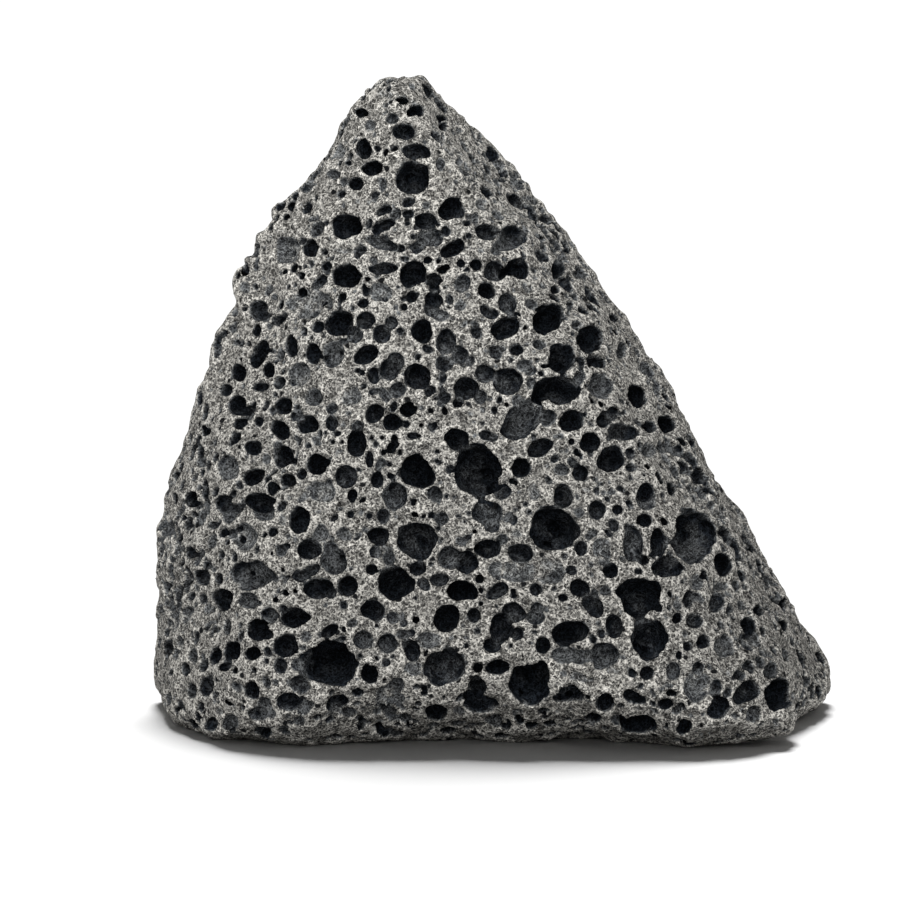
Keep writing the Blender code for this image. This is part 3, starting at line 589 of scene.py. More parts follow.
def spline_weights(part: Array) -> Array:
    """Cubic B-spline weights of the four coarse samples round each place.

    Args:
        part: how far each place is past its second sample, from none to one.

    Returns:
        (4, n) weights.
    """
    rows = [(1.0 - part) ** 3, 4.0 - 6.0 * part ** 2 + 3.0 * part ** 3,
            1.0 + 3.0 * part + 3.0 * part ** 2 - 3.0 * part ** 3, part ** 3]
    return (np.stack(rows) / 6.0).astype(np.float32)


@dataclass(frozen=True)
class Brood:
    """One kind of seeded bubble.

    Attributes:
        seed: seed of the draws.
        tries: how many are drawn, or none where the maker counts them out.
        small, large: least and greatest width of a mouth, in mm.
        power: how strongly small widths are favoured.
        stretch: range of a mouth's shorter over its longer width.
        sunk: range of the share of the half depth that a middle lies under the skin.
        long: range of half depth over half width.
        spacing: least distance of two middles, as a share of their joint widths.
    """

    seed: int
    tries: int
    small: float
    large: float
    power: float
    stretch: Span
    sunk: Span = (0.0, 0.0)
    long: Span = (1.0, 1.0)
    spacing: float = 0.0

    def widths(self, luck: Array) -> Array:
        """Widths for draws between none and one."""
        return self.small + (self.large - self.small) * luck ** self.power

    def spaced(self, points: Array, wide: Array, fit: Array, most: int | None = None) -> list[int]:
        """Numbers of the bubbles that stand clear of all that were taken before them.

        Args:
            points: (n, 3) middles of the mouths.
            wide: (n,) widths.
            fit: (n,) flags of those that may be taken.
            most: how many are taken at most, if there is a limit.

        Returns:
            The numbers, in order.
        """
        kept: list[int] = []
        for i in np.flatnonzero(fit):
            away = np.linalg.norm(points[kept] - points[i], axis=1)
            if (away > (wide[kept] + wide[i]) * self.spacing).all() and len(kept) != most:
                kept.append(int(i))
        return kept


@dataclass
class BubbleMaker:
    """Sets bubbles on the skin.

    A bubble is an ellipsoid whose mouth is an ellipse on the skin.  Its
    middle lies under the skin by a share of its half depth, and its other
    two half axes are the mouth's, widened to match.  A facing is the cosine
    between the skin's normal and the way to the eye.  Lengths are in mm.
    """

    skin: Skin
    sight: Sight
    # Bubbles of the tables: least facing kept, least facing that a mouth is
    # stretched back for, and how far the longer half sets the depth
    least_facing: float = 0.17
    mouth_facing: float = 0.30
    depth_stretch: float = 1.25
    # Gaps between part_most and part_least are widened by drawing mouths in, to
    # no less than this share
    part_least: float = 0.6
    part_most: float = -0.7
    part_share: float = 0.85
    # Large ones where the tables have none: how many, and where; shares of
    # deep ones, and of deep and middling ones
    hidden: Brood = Brood(23, 1600, 3.6, 8.4, 2.2, (0.72, 1.0), spacing=0.56)
    hidden_count: int = 80
    hidden_facing: float = -0.22
    hidden_floor: float = 6.0
    hidden_slope: float = -0.4
    hidden_kinds: Span = (0.55, 0.8)
    # Wall between them and the tables', the share of a width that has to fit
    # there, and the least share that is left of a mouth
    wall_least: float = 2.2
    wall_width: float = 0.75
    wall_share: float = 0.3
    # Fine ones over the whole skin: how many face forwards and how many don't,
    # what evens out how thickly they lie, and the least height and upward slope
    fine: Brood = Brood(41, 28200, 0.9, 3.2, 3.2, (0.6, 1.0), (-0.2, 0.5), (1.0, 1.5))
    fine_front: int = 2100
    fine_rest: int = 2600
    front_facing: float = 0.12
    fine_slant: float = 0.2
    fine_even: float = 0.98
    fine_floor: float = 0.8
    foot_slope: float = -0.87
    # More of them, of a larger kind, where the skin turns away from the eye
    edge: Brood = Brood(41, 0, 1.0, 3.4, 2.2, (0.6, 1.0))
    edge_count: int = 2000
    edge_facing: Span = (-0.3, 0.62)
    edge_floor: float = 4.0
    # Share that may break a large one's rim, and how far the others stay off it,
    # as shares of a width
    rim_breaks: float = 0.3
    rim_clear: float = 0.4
    edge_clear: float = 0.95
    # Where the skin faces less than this, a fine one is held small and lifted out
    grazed_facing: float = 0.32
    grazed_large: float = 2.1
    grazed_lift: float = 0.4
    # Small, deep, dark ones between the large ones: facings without them, least
    # height, and shares of the large and of the small one that part the two
    between: Brood = Brood(73, 7000, 0.9, 2.4, 2.0, (0.65, 1.0), (0.2, 0.6), (1.2, 1.7), 0.66)
    between_facing: Span = (-0.3, 0.15)
    between_floor: float = 1.0
    between_reach: float = 1.02
    between_clear: float = 0.6
    # Ones that the flat foot cuts across: half of its box, and its clear rim
    foot: Brood = Brood(91, 3000, 1.0, 7.5, 3.0, (0.65, 1.0), (-0.2, 0.55), (0.9, 1.3), 0.62)
    foot_half: Span = (62.0, 42.0)
    foot_rim: float = 1.2
    # Ones in the walls of large ones, as shares of their width: how many a
    # bubble wide enough has, and the depth from which they may open any way
    wall: Brood = Brood(57, 0, 0.14, 0.36, 1.0, (0.6, 1.0), (-0.4, 0.3), (0.9, 0.9))
    wall_large: float = 4.0
    wall_some: float = 0.6
    wall_many: int = 6
    wall_few: int = 3
    wall_rise: float = 0.1
    breach_least: float = 1.6
    # Facing that parts front from back, and the wall between bubbles of both
    side_facing: float = 0.05
    side_wall: float = 0.7

    def set_in(self, points: Array, outward: Array, halves: tuple[Array, Array],
               sunk: Array, long: Array) -> Bubbles:
        """Bubbles with given mouths.

        Args:
            points: (n, 3) middles of the mouths.
            outward: (n, 3) normals of the skin there.
            halves: the mouths' two half axes, (n, 3) each.
            sunk: (n,) share of the half depth that the middle lies under the skin.
            long: (n,) half depth over the mouth's half width.

        Returns:
            The bubbles.
        """
        first, second = (np.linalg.norm(half, axis=1) for half in halves)
        wide = np.minimum(np.sqrt(first * second), np.minimum(first, second) * self.depth_stretch)
        open_share = np.sqrt(1.0 - sunk ** 2)[:, None]
        depth = (wide * long)[:, None]
        axes = np.stack([*(half / open_share for half in halves), -outward * depth], axis=2)
        return Bubbles(points - outward * depth * sunk[:, None], axes)

    def drawn(self, rng: np.random.Generator, brood: Brood, points: Array, outward: Array,
              wide: Array, lift: Array | float = 0.0) -> Bubbles:
        """Bubbles of one kind, with the rest of their numbers drawn.

        Args:
            rng: source of the draws.
            brood: their kind.
            points: (n, 3) middles of the mouths.
            outward: (n, 3) normals of the skin there.
            wide: (n,) widths.
            lift: (n,) rise of the middles, as a share of the half depth.

        Returns:
            The bubbles.
        """
        size = len(points)
        halves = mouth(outward, rng.uniform(0.0, np.pi, size), wide, rng.uniform(*brood.stretch, size))
        return self.set_in(points, outward, halves, rng.uniform(*brood.sunk, size) - lift,
                           rng.uniform(*brood.long, size))

    def seen(self) -> Bubbles:
        """Bubbles of the tables, each pushed along its sight line to the skin.

        Returns:
            The bubbles, without those that the skin turns away from the eye.
        """
        sight = self.sight
        rows = np.array([row[:5] for row in FRONT_PITS])
        kinds = np.array([row[5].value for row in FRONT_PITS])
        aim = np.array(sight.aim)
        targets = (aim + sight.right * (rows[:, :1] - aim[0]) + sight.up * (rows[:, 1:2] - sight.aim_up))
        points, hit = self.skin.met_by(sight.eye, unit(targets - sight.eye), sight.distance)
        outward = self.skin.outward(points)
        clear = hit & (outward @ sight.inward < -self.least_facing)
        rows, kinds, points, outward = rows[clear], kinds[clear], points[clear], outward[clear]
        turn = np.radians(rows[:, 4:5])
        facing = np.minimum(outward @ sight.inward, -self.mouth_facing)[:, None]
        halves = []
        for way, wide in ((sight.right * np.cos(turn) + sight.up * np.sin(turn), rows[:, 2:3]),
                          (sight.up * np.cos(turn) - sight.right * np.sin(turn), rows[:, 3:4])):
            half = way * wide / 2.0
            halves.append(half - sight.inward * (half * outward).sum(axis=1)[:, None] / facing)
        share = self.parted(points, *halves)[:, None]
        return self.set_in(points, outward, (halves[0] * share, halves[1] * share),
                           kinds[:, 0], kinds[:, 1])

    def parted(self, points: Array, half_a: Array, half_b: Array) -> Array:
        """How far mouths that just touch are drawn in to leave a wall between them.

        The reach of a mouth along a direction u is sqrt((a . u)^2 + (b . u)^2).

        Args:
            points: (n, 3) middles of the mouths.
            half_a: (n, 3) first half axes of the mouths.
            half_b: (n, 3) second half axes of the mouths.

        Returns:
            (n,) shares to shrink the mouths by.
        """
        way = points[None, :] - points[:, None]
        away = np.linalg.norm(way, axis=2) + 1e-9
        way /= away[:, :, None]
        reach = np.sqrt(np.einsum("ijk,ik->ij", way, half_a) ** 2
                        + np.einsum("ijk,ik->ij", way, half_b) ** 2)
        gap = away - reach - reach.T
        near = (gap < self.part_least) & (gap > self.part_most) & (away > 0.1)
        share = np.where(near, 1.0 - (self.part_least - gap) / 2.0 / np.maximum(reach, 0.1), 1.0)
        return np.clip(share.min(axis=1), self.part_share, 1.0)

    def unseen(self, front: Bubbles) -> Bubbles:
        """Large seeded bubbles on the sides, the back and the top.

        Args:
            front: bubbles already there, which the new ones don't break into.

        Returns:
            The bubbles, smaller where they would come too near the front ones.
        """
        brood = self.hidden
        rng = np.random.default_rng(brood.seed)
        draws = [(rng.normal(size=3), rng.random(), rng.uniform(*brood.stretch), rng.uniform(0.0, np.pi),
                  rng.random()) for _ in range(brood.tries)]
        ways, luck, stretch, turn, kind = (np.array(column) for column in zip(*draws))
        wide = brood.widths(luck)
        points = self.skin.along(unit(ways))
        outward = self.skin.outward(points)
        facing = (outward * unit(self.sight.eye - points)).sum(axis=1)
        fit = ((facing <= self.hidden_facing) & (points[:, 2] >= self.hidden_floor)
               & (outward[:, 2] >= self.hidden_slope))
        kept = brood.spaced(points, wide, fit, self.hidden_count)
        deep, middling = (kind[kept, None] < share for share in self.hidden_kinds)
        sunk, long = np.where(deep, DEEP.value, np.where(middling, MID.value, SHALLOW.value)).T
        points, outward, wide = points[kept], outward[kept], wide[kept]
        halves = mouth(outward, turn[kept], wide, stretch[kept])
        middles = self.set_in(points, outward, halves, sunk, long).middles
        away = np.linalg.norm(middles[:, None] - front.middles, axis=2)
        reach = np.linalg.norm(front.axes, axis=2).max(axis=1)
        room = (away - reach).min(axis=1) - self.wall_least
        share = np.clip(room / (wide * self.wall_width), self.wall_share, 1.0)[:, None]
        return self.set_in(points, outward, (halves[0] * share, halves[1] * share), sunk, long)

    def crowded(self, others: Bubbles) -> Bubbles:
        """Small bubbles crowded over the whole skin, most of them on the front.

        Args:
            others: the bubbles whose rims only a few of the small ones break.

        Returns:
            The small bubbles.
        """
        rng = np.random.default_rng(self.fine.seed)
        points = self.skin.along(unit(rng.normal(size=(self.fine.tries, 3))))
        outward = self.skin.outward(points)
        away = points - np.array(self.skin.heart)
        reach = np.linalg.norm(away, axis=1)
        weight = reach ** 2 / np.maximum((away * outward).sum(axis=1) / reach, self.fine_slant)
        fit = rng.random(len(points)) < weight / np.quantile(weight, self.fine_even)
        fit &= (points[:, 2] > self.fine_floor) & (outward[:, 2] > self.foot_slope)
        points, outward = points[fit], outward[fit]
        facing = -(outward @ self.sight.inward)
        low, high = self.edge_facing
        edge = np.flatnonzero((facing > low) & (facing < high) & (points[:, 2] > self.edge_floor))
        front = np.flatnonzero(facing > self.front_facing)[:self.fine_front]
        rest = np.flatnonzero(facing <= self.front_facing)[:self.fine_rest]
        keep = np.concatenate([front, rest, edge[-self.edge_count:]])
        points, outward = points[keep], outward[keep]
        size = len(points)
        on_edge = np.arange(size) >= len(front) + len(rest)
        luck = rng.random(size)
        wide = np.where(on_edge, self.edge.widths(luck), self.fine.widths(luck))
        grazed = np.abs(outward @ self.sight.inward) < self.grazed_facing
        wide = np.where(grazed, np.minimum(wide, self.grazed_large), wide)
        small = self.drawn(rng, self.fine, points, outward, wide, np.where(grazed, self.grazed_lift, 0.0))
        away = np.linalg.norm(points[:, None] - others.middles, axis=2)
        reach = np.linalg.norm(others.axes, axis=2).mean(axis=1)
        breaks = (rng.random(size) < self.rim_breaks) & ~on_edge
        margin = (wide[:, None] * np.where(on_edge, self.edge_clear, self.rim_clear)[:, None])
        return small.chosen((away > reach + margin).all(axis=1) | breaks)

    def filling(self, large: Bubbles) -> Bubbles:
        """Small, deep, dark bubbles that crowd the skin between the large ones.

        Args:
            large: the bubbles whose mouths are kept clear.

        Returns:
            The small bubbles.
        """
        brood = self.between
        rng = np.random.default_rng(brood.seed)
        points = self.skin.along(unit(rng.normal(size=(brood.tries, 3))))
        outward = self.skin.outward(points)
        wide = brood.widths(rng.random(brood.tries))
        facing = -(outward @ self.sight.inward)
        low, high = self.between_facing
        fit = (outward[:, 2] > self.foot_slope) & (points[:, 2] > self.between_floor)
        fit &= (facing > high) | (facing < low)
        away = np.linalg.norm(points[:, None] - large.middles, axis=2)
        reach = np.linalg.norm(large.axes, axis=2).mean(axis=1)
        fit &= (away > reach * self.between_reach + wide[:, None] * self.between_clear).all(axis=1)
        kept = brood.spaced(points, wide, fit)
        return self.drawn(rng, brood, points[kept], outward[kept], wide[kept])

    def under(self) -> Bubbles:
        """Bubbles that the flat foot cuts across, clear of its rim.

        Returns:
            The bubbles, with their mouths down on the foot.
        """
        brood = self.foot
        rng = np.random.default_rng(brood.seed)
        points = np.zeros((brood.tries, 3))
        points[:, :2] = rng.uniform(-1.0, 1.0, (brood.tries, 2)) * self.foot_half
        wide = brood.widths(rng.random(brood.tries))
        turn = np.linspace(0.0, 2.0 * np.pi, 9)[:-1]
        ring = np.stack([np.cos(turn), np.sin(turn), 0.0 * turn], axis=1)[:, None]
        around = points + ring * (wide / 2.0 + self.foot_rim)[:, None]
        inside = self.skin.at(around.reshape(-1, 3)).reshape(len(turn), -1).max(axis=0) < 0.0
        kept = brood.spaced(points, wide, inside)
        outward = np.tile([0.0, 0.0, -1.0], (len(kept), 1))
        return self.drawn(rng, brood, points[kept], outward, wide[kept])

    def burst(self, large: Bubbles) -> Bubbles:
        """Small bubbles that open into the walls of the large ones.

        Args:
            large: the bubbles whose walls are broken.

        Returns:
            The small bubbles, centred a little outside the walls.
        """
        brood = self.wall
        rng = np.random.default_rng(brood.seed)
        size = 2.0 * np.linalg.norm(large.axes, axis=1).min(axis=1)
        counts = np.where(size > self.wall_large, self.wall_many,
                          np.where(size > self.wall_large * self.wall_some, self.wall_few, 0))
        owner = np.repeat(np.arange(len(large)), counts)
        ways = rng.normal(size=(len(owner), 3))
        ways[:, 2] = np.abs(ways[:, 2]) + self.wall_rise
        walls = large.middles[owner] + np.einsum("nij,nj->ni", large.axes[owner], unit(ways))
        wide = rng.uniform(brood.small, brood.large, len(owner)) * size[owner]
        outward = unit(large.middles[owner] - walls)
        made = self.drawn(rng, brood, walls, outward, wide)
        inside = -self.skin.at(walls - outward * wide[:, None]) > self.breach_least
        to_mouth = (large.axes[owner, :, 2] * outward).sum(axis=1) > 0.0
        return made.chosen(inside | to_mouth)

    def kept_apart(self, large: Bubbles, small: Bubbles) -> Bubbles:
        """Leave out small bubbles that would pierce the stone where it is thin.

        Args:
            large: bubbles that stay whatever happens.
            small: bubbles of which one is left out where two sides would meet.

        Returns:
            All the bubbles that stay.
        """
        every = large.joined(small)
        depth = np.linalg.norm(every.axes[:, :, 2], axis=1)
        near = (every.axes[:, :, 2] @ self.sight.inward) / depth > self.side_facing
        reach = np.linalg.norm(every.axes, axis=2).mean(axis=1)
        first, second = np.flatnonzero(near), np.flatnonzero(~near)
        a, b = every.middles[first], every.middles[second]
        square = (a ** 2).sum(axis=1)[:, None] + (b ** 2).sum(axis=1) - 2.0 * a @ b.T
        met = np.sqrt(np.maximum(square, 0.0)) < reach[first][:, None] + reach[second] + self.side_wall
        lost = np.zeros(len(every), bool)
        lost[second] = met.any(axis=0)
        lost[first] = (met & (second < len(large))).any(axis=1)
        lost[:len(large)] = False
        return every.chosen(~lost)

    def every(self) -> Bubbles:
        """Every bubble of the stone.

        Returns:
            The bubbles, in the order that they are carved in.
        """
        front = self.seen()
        large = front.joined(self.unseen(front))
        LOG.info("large bubbles: %d", len(large))
        small = self.filling(large).joined(self.crowded(large)).joined(self.under())
        made = self.kept_apart(large, small).joined(self.burst(large))
        LOG.info("bubbles in all: %d", len(made))
        return made


def mouth(outward: Array, turn: Array, wide: Array, stretch: Array) -> tuple[Array, Array]:
    """Half axes of ellipses that lie square to the outward directions.

    Args:
        outward: (n, 3) unit normals.
        turn: (n,) turns within the ellipses' plane, in radians.
        wide: (n,) longer diameters in mm.
        stretch: (n,) shorter over longer diameter.

    Returns:
        Two (n, 3) arrays of half axes.
    """
    side = unit(np.cross(outward, MOUTH_START))
    over = np.cross(outward, side)
    turn, wide, stretch = turn[:, None], wide[:, None], stretch[:, None]
    half_a = (side * np.cos(turn) + over * np.sin(turn)) * wide / 2.0
    half_b = (over * np.cos(turn) - side * np.sin(turn)) * wide * stretch / 2.0
    return half_a, half_b


@dataclass
class SurfaceNet:
    """Turns a field on a lattice into one closed mesh.

    Each lattice cell that the surface crosses gets one vertex, the mean of
    the zero crossings on its edges, and each lattice edge with a change of
    sign gets one four-sided face between its four cells.

    Attributes:
        lattice: where the field was worked out.
        fill: how far below zero a stray corner is filled, in mm.
    """

    lattice: Lattice
    fill: float = 0.04

    def corner_codes(self, solid: Array) -> Array:
        """Byte for each cell with one bit for each corner that is solid.

        Args:
            solid: (nx, ny, nz) flags of the samples.

        Returns:
            (nx - 1, ny - 1, nz - 1) bytes.
        """
        code = np.zeros(tuple(n - 1 for n in solid.shape), np.uint8)
        for bit, corner in enumerate(np.ndindex(2, 2, 2)):
            part = tuple(slice(c, c + n - 1) for c, n in zip(corner, solid.shape))
            code |= solid[part].view(np.uint8) << np.uint8(bit)
        return code

    def repair_table(self) -> Array:
        """Which corner to fill so that no two solids touch only at an edge or a corner.

        Returns:
            (256,) corner for each code, or -1 where the cell is a clean one.
        """
        table = np.full(256, -1, np.int64)
        corners = list(np.ndindex(2, 2, 2))
        faces = [[c for c in range(8) if corners[c][axis] == side] for axis in range(3) for side in (0, 1)]
        for code in range(256):
            solid = [(code >> c) & 1 for c in range(8)]
            for a, b, c, d in faces:
                if solid[a] == solid[d] and solid[b] == solid[c] and solid[a] != solid[b]:
                    table[code] = b if solid[a] else a
            lone = [c for c in range(8) if solid[c]]
            gaps = [c for c in range(8) if not solid[c]]
            for pair in (lone, gaps):
                if len(pair) == 2 and sum(pair) == 7:
                    table[code] = gaps[0]
        return table

    def repaired(self, values: Array) -> Array:
        """Fill stray corners until the surface is a clean one everywhere.

        Args:
            values: the field, changed in place where a corner is filled.

        Returns:
            The cells' final corner codes.
        """
        table = self.repair_table()
        corners = np.array(list(np.ndindex(2, 2, 2)))
        while True:
            code = self.corner_codes(values < 0.0)
            stray = np.argwhere(table[code] >= 0)
            if not len(stray):
                return code
            spots = stray + corners[table[code[tuple(stray.T)]]]
            values[tuple(spots.T)] = -self.fill

    def mesh(self, values: Array) -> tuple[Array, Array]:
        """Vertices and faces of the zero surface.

        Args:
            values: (nx, ny, nz) field, above zero all round the border.

        Returns:
            (n, 3) vertices in mm and (m, 4) faces that point outwards.
        """
        code = self.repaired(values)
        cells = np.argwhere((code > 0) & (code < 255))
        number = np.zeros(code.shape, np.int32)
        number[tuple(cells.T)] = np.arange(len(cells))
        corners = list(np.ndindex(2, 2, 2))
        total = np.zeros((len(cells), 3))
        crossings = np.zeros(len(cells))
        at = [values[tuple((cells + corner).T)] for corner in corners]
        for first, second in ((a, b) for a in range(8) for b in range(a + 1, 8)
                              if sum(p != q for p, q in zip(corners[a], corners[b])) == 1):
            crossed = (at[first] < 0.0) != (at[second] < 0.0)
            gap = np.where(crossed, at[first] - at[second], 1.0)
            share = np.where(crossed, at[first] / gap, 0.0)
            start = np.array(corners[first], float)
            way = np.array(corners[second]) - start
            total += np.where(crossed[:, None], start + way * share[:, None], 0.0)
            crossings += crossed
        vertices = np.array(self.lattice.low) + self.lattice.step * (cells + total / crossings[:, None])
        return self.largest(vertices, np.concatenate(list(self.faces(values < 0.0, number))))

    def faces(self, solid: Array, number: Array) -> Iterator[Array]:
        """Faces across the lattice edges of each axis that change sign.

        Args:
            solid: (nx, ny, nz) flags of the samples.
            number: number of the vertex in each cell.

        Yields:
            (m, 4) faces that point outwards.
        """
        for axis in range(3):
            ahead = [slice(None)] * 3
            behind = [slice(None)] * 3
            ahead[axis] = slice(1, None)
            behind[axis] = slice(None, -1)
            changed = np.argwhere(solid[tuple(behind)] != solid[tuple(ahead)])
            leaving = solid[tuple(changed.T)]
            one, two = (axis + 1) % 3, (axis + 2) % 3
            ring = []
            for back_one, back_two in ((0, 0), (1, 0), (1, 1), (0, 1)):
                cell = changed.copy()
                cell[:, one] -= back_one
                cell[:, two] -= back_two
                ring.append(number[tuple(cell.T)])
            face = np.stack(ring, axis=1)
            yield np.where(leaving[:, None], face, face[:, ::-1])

    def largest(self, vertices: Array, faces: Array) -> tuple[Array, Array]:
        """Keep only the largest connected surface.

        Each vertex takes the lowest number among its neighbours, and then
        that number's own number, until nothing changes.

        Args:
            vertices: (n, 3) vertices.
            faces: (m, 4) faces.

        Returns:
            The vertices and faces that stay.
        """
        label = np.arange(len(vertices))
        ends = np.concatenate([faces[:, [0, 1]], faces[:, [1, 2]], faces[:, [2, 3]], faces[:, [3, 0]]])
        while True:
            lower = np.minimum(label[ends[:, 0]], label[ends[:, 1]])
            fresh = label.copy()
            np.minimum.at(fresh, ends[:, 0], lower)
            fresh = np.minimum(fresh, fresh[fresh])
            fresh = fresh[fresh]
            if np.array_equal(fresh, label):
                break
            label = fresh
        names, counts = np.unique(label, return_counts=True)
        kept = label == names[counts.argmax()]
        fresh = np.cumsum(kept) - 1
        return vertices[kept], fresh[faces[kept[faces[:, 0]]]]


@dataclass
class Stone:
    """The lava rock itself, as one closed piece.  Lengths are in mm."""

    skin: Skin = field(default_factory=Skin)
    sight: Sight = field(default_factory=Sight)
    lattice: Lattice = field(default_factory=Lattice)
    # Thinning: how strongly it spares the front, and the slopes away from the
    # eye and the depths from which, and over which, the mesh grows coarser
    triangles: int = 196000
    coarse_factor: float = 0.3
    spare_turn: float = -0.05
    spare_turn_span: float = 0.5
    spare_depth: float = 0.5
    spare_depth_span: float = 1.2
    spare_least: float = 0.02
    # Lumps, grit and knobs of the skin
    relief: tuple[Grain, ...] = (Grain(5, 3.4, 0.24), Grain(6, 1.1, 0.16), Grain(8, 1.9, 0.27))
    # Waves of a bubble's wall as shares of its width, and how far they may reach
    ragged: tuple[Grain, ...] = (Grain(7, 1.15, 0.085), Grain(9, 2.7, 0.085))
    warp_reach: float = 1.25
    # How far rims are worn round, and how far the skin lies inside the solid's
    rim_rounding: float = 0.12
    settle: float = 0.10
    # Half width of the box that rim rubbing and painted crease shade are measured in, the share of
    # solid in it below which a point is rubbed off, and how fast the field rises there
    wear_reach: float = 0.8
    spike_share: float = 0.12
    spike_slope: float = 2.0
    # Ways that openness is measured along, and how much more comes from above for the painted light
    ways_out: int = 60
    way_start: float = 0.5
    way_length: float = 8.0
    way_steps: int = 10
    from_above: float = 0.7

    def carve(self) -> Array:
        """Field of the whole stone on the lattice, below zero inside.

        The value is the smooth maximum of the roughened skin, the ground
        plane and each bubble's own field, which is its mean half width
        times (1 - |q|), with q the place in the bubble's own axes.

        Returns:
            (nx, ny, nz) values in mm.
        """
        lattice = self.lattice
        values = self.skin.on(lattice) + np.float32(self.settle)
        LOG.info("skin on %s samples", lattice.shape)
        for grain in self.relief:
            values += lattice.grain(grain)
        np.maximum(values, -lattice.axes()[2].astype(np.float32), out=values)
        warp = sum(lattice.grain(grain) for grain in self.ragged)
        bubbles = BubbleMaker(self.skin, self.sight).every()
        inverse = np.linalg.inv(bubbles.axes).astype(np.float32)
        reaches = np.linalg.norm(bubbles.axes, axis=2) * self.warp_reach + lattice.step
        widths = np.cbrt(np.abs(np.linalg.det(bubbles.axes))).astype(np.float32)
        for middle, turn, reach, wide in zip(bubbles.middles, inverse, reaches, widths):
            cut, rows = lattice.block(middle, reach)
            x, y, z = (row.astype(np.float32) for row in rows)
            parts = (row[0] * x[:, None, None] + row[1] * y[:, None] + row[2] * z for row in turn)
            away = np.sqrt(sum(part * part for part in parts))
            hollow = (1.0 - away + warp[cut]) * wide
            here = values[cut]
            gap = np.maximum(self.rim_rounding - np.abs(here - hollow), 0.0)
            values[cut] = np.maximum(here, hollow) + gap * gap / (4.0 * self.rim_rounding)
        for axis in range(3):
            edge = [slice(None)] * 3
            for edge[axis] in (0, -1):
                values[tuple(edge)] = np.maximum(values[tuple(edge)], lattice.step)
        LOG.info("carved")
        return values

    def crowding(self, values: Array) -> Array:
        """Share of solid in a box round each sample, summed along one axis after another.

        Args:
            values: (nx, ny, nz) field.

        Returns:
            (nx, ny, nz) shares.
        """
        count = max(1, int(round(self.wear_reach / self.lattice.step)))
        solid = (values < 0.0).astype(np.float32)
        for axis in range(3):
            pad = [(0, 0)] * 3
            pad[axis] = (count + 1, count)
            total = np.cumsum(np.pad(solid, pad, mode="edge"), axis=axis, dtype=np.float32)
            size = solid.shape[axis]
            upper = np.take(total, np.arange(2 * count + 1, 2 * count + 1 + size), axis=axis)
            lower = np.take(total, np.arange(size), axis=axis)
            solid = (upper - lower) / np.float32(2 * count + 1)
        return solid

    def openness(self, values: Array, places: Array, facing: Array) -> tuple[Array, Array]:
        """How open to its surroundings each place is.

        Ways are spread evenly over a ball by the golden angle.  The first
        share counts each clear way by its slope to the skin over the place, and the
        finish paints it as shade that darkens hollows.  The second counts it by its
        slope to the wall itself, and counts ways from above for more; the finish paints
        it as light on what faces up and shade on what faces down.

        Args:
            values: the stone's field on the lattice.
            places: (n, 3) points on the stone.
            facing: (n, 3) unit normals of the walls there.

        Returns:
            Two (n,) shares, one on open skin and near none at the end of a bubble.
        """
        low, top = np.array(self.lattice.low), np.array(values.shape) - 1
        outward = self.skin.outward(places)
        spin = np.arange(self.ways_out) * np.pi * (3.0 - np.sqrt(5.0))
        rise = 1.0 - (2.0 * np.arange(self.ways_out) + 1.0) / self.ways_out
        flat = np.sqrt(1.0 - rise ** 2)
        clear, total, lit, most = np.zeros((4, len(places)))
        for way in np.stack([np.cos(spin) * flat, np.sin(spin) * flat, rise], axis=1):
            slope = np.maximum(outward @ way, 0.0)
            open_way = np.ones(len(places), bool)
            for distance in np.geomspace(self.way_start, self.way_length, self.way_steps):
                spot = ((places + way * distance - low) / self.lattice.step + 0.5).astype(int)
                spot = np.clip(spot, 0, top)
                open_way &= values[spot[:, 0], spot[:, 1], spot[:, 2]] > 0.0
            clear += slope * open_way
            total += slope
            above = 1.0 + self.from_above * way[2]
            lit += np.maximum(facing @ way, 0.0) * open_way * above
            most += slope * above
        LOG.info("openness measured")
        return clear / total, lit / most

    def thinned(self, vertices: Array, faces: Array) -> bpy.types.Mesh:
        """The mesh thinned to about the number of triangles set for it.
        The mesh with no more triangles than the piece may have.

        It is thinned while it is still in mm, most where it faces away or
        lies deep in a bubble.

        Args:
            vertices: (n, 3) vertices in mm.
            faces: (m, 4) faces.

        Returns:
            The thinned mesh, in mm.
        """
        mesh = bpy.data.meshes.new(NODE)
        fill_mesh(mesh, vertices, faces)
        helper = bpy.data.objects.new("thinning", mesh)
        bpy.context.scene.collection.objects.link(helper)
        thin = helper.modifiers.new("thin", "DECIMATE")
        thin.ratio = min(1.0, self.triangles / (2.0 * len(faces)))
        away = self.skin.outward(vertices) @ self.sight.inward
        deep = -self.skin.at(vertices) - self.settle
        spare = np.maximum((away - self.spare_turn) / self.spare_turn_span,
                           (deep - self.spare_depth) / self.spare_depth_span)
        spare = np.round(np.clip(spare, self.spare_least, 1.0), 2)
        group = helper.vertex_groups.new(name="may_be_coarse")
        for share in np.unique(spare):
            group.add(np.flatnonzero(spare == share).tolist(), float(share), "REPLACE")
        thin.vertex_group = group.name
        thin.vertex_group_factor = self.coarse_factor
        thin.use_collapse_triangulate = True
        graph = bpy.context.evaluated_depsgraph_get()
        graph.update()
        done = bpy.data.meshes.new_from_object(helper.evaluated_get(graph))
        bpy.data.objects.remove(helper)
        bpy.data.meshes.remove(mesh)
        LOG.info("thinned to %d triangles", len(done.polygons))
        return done

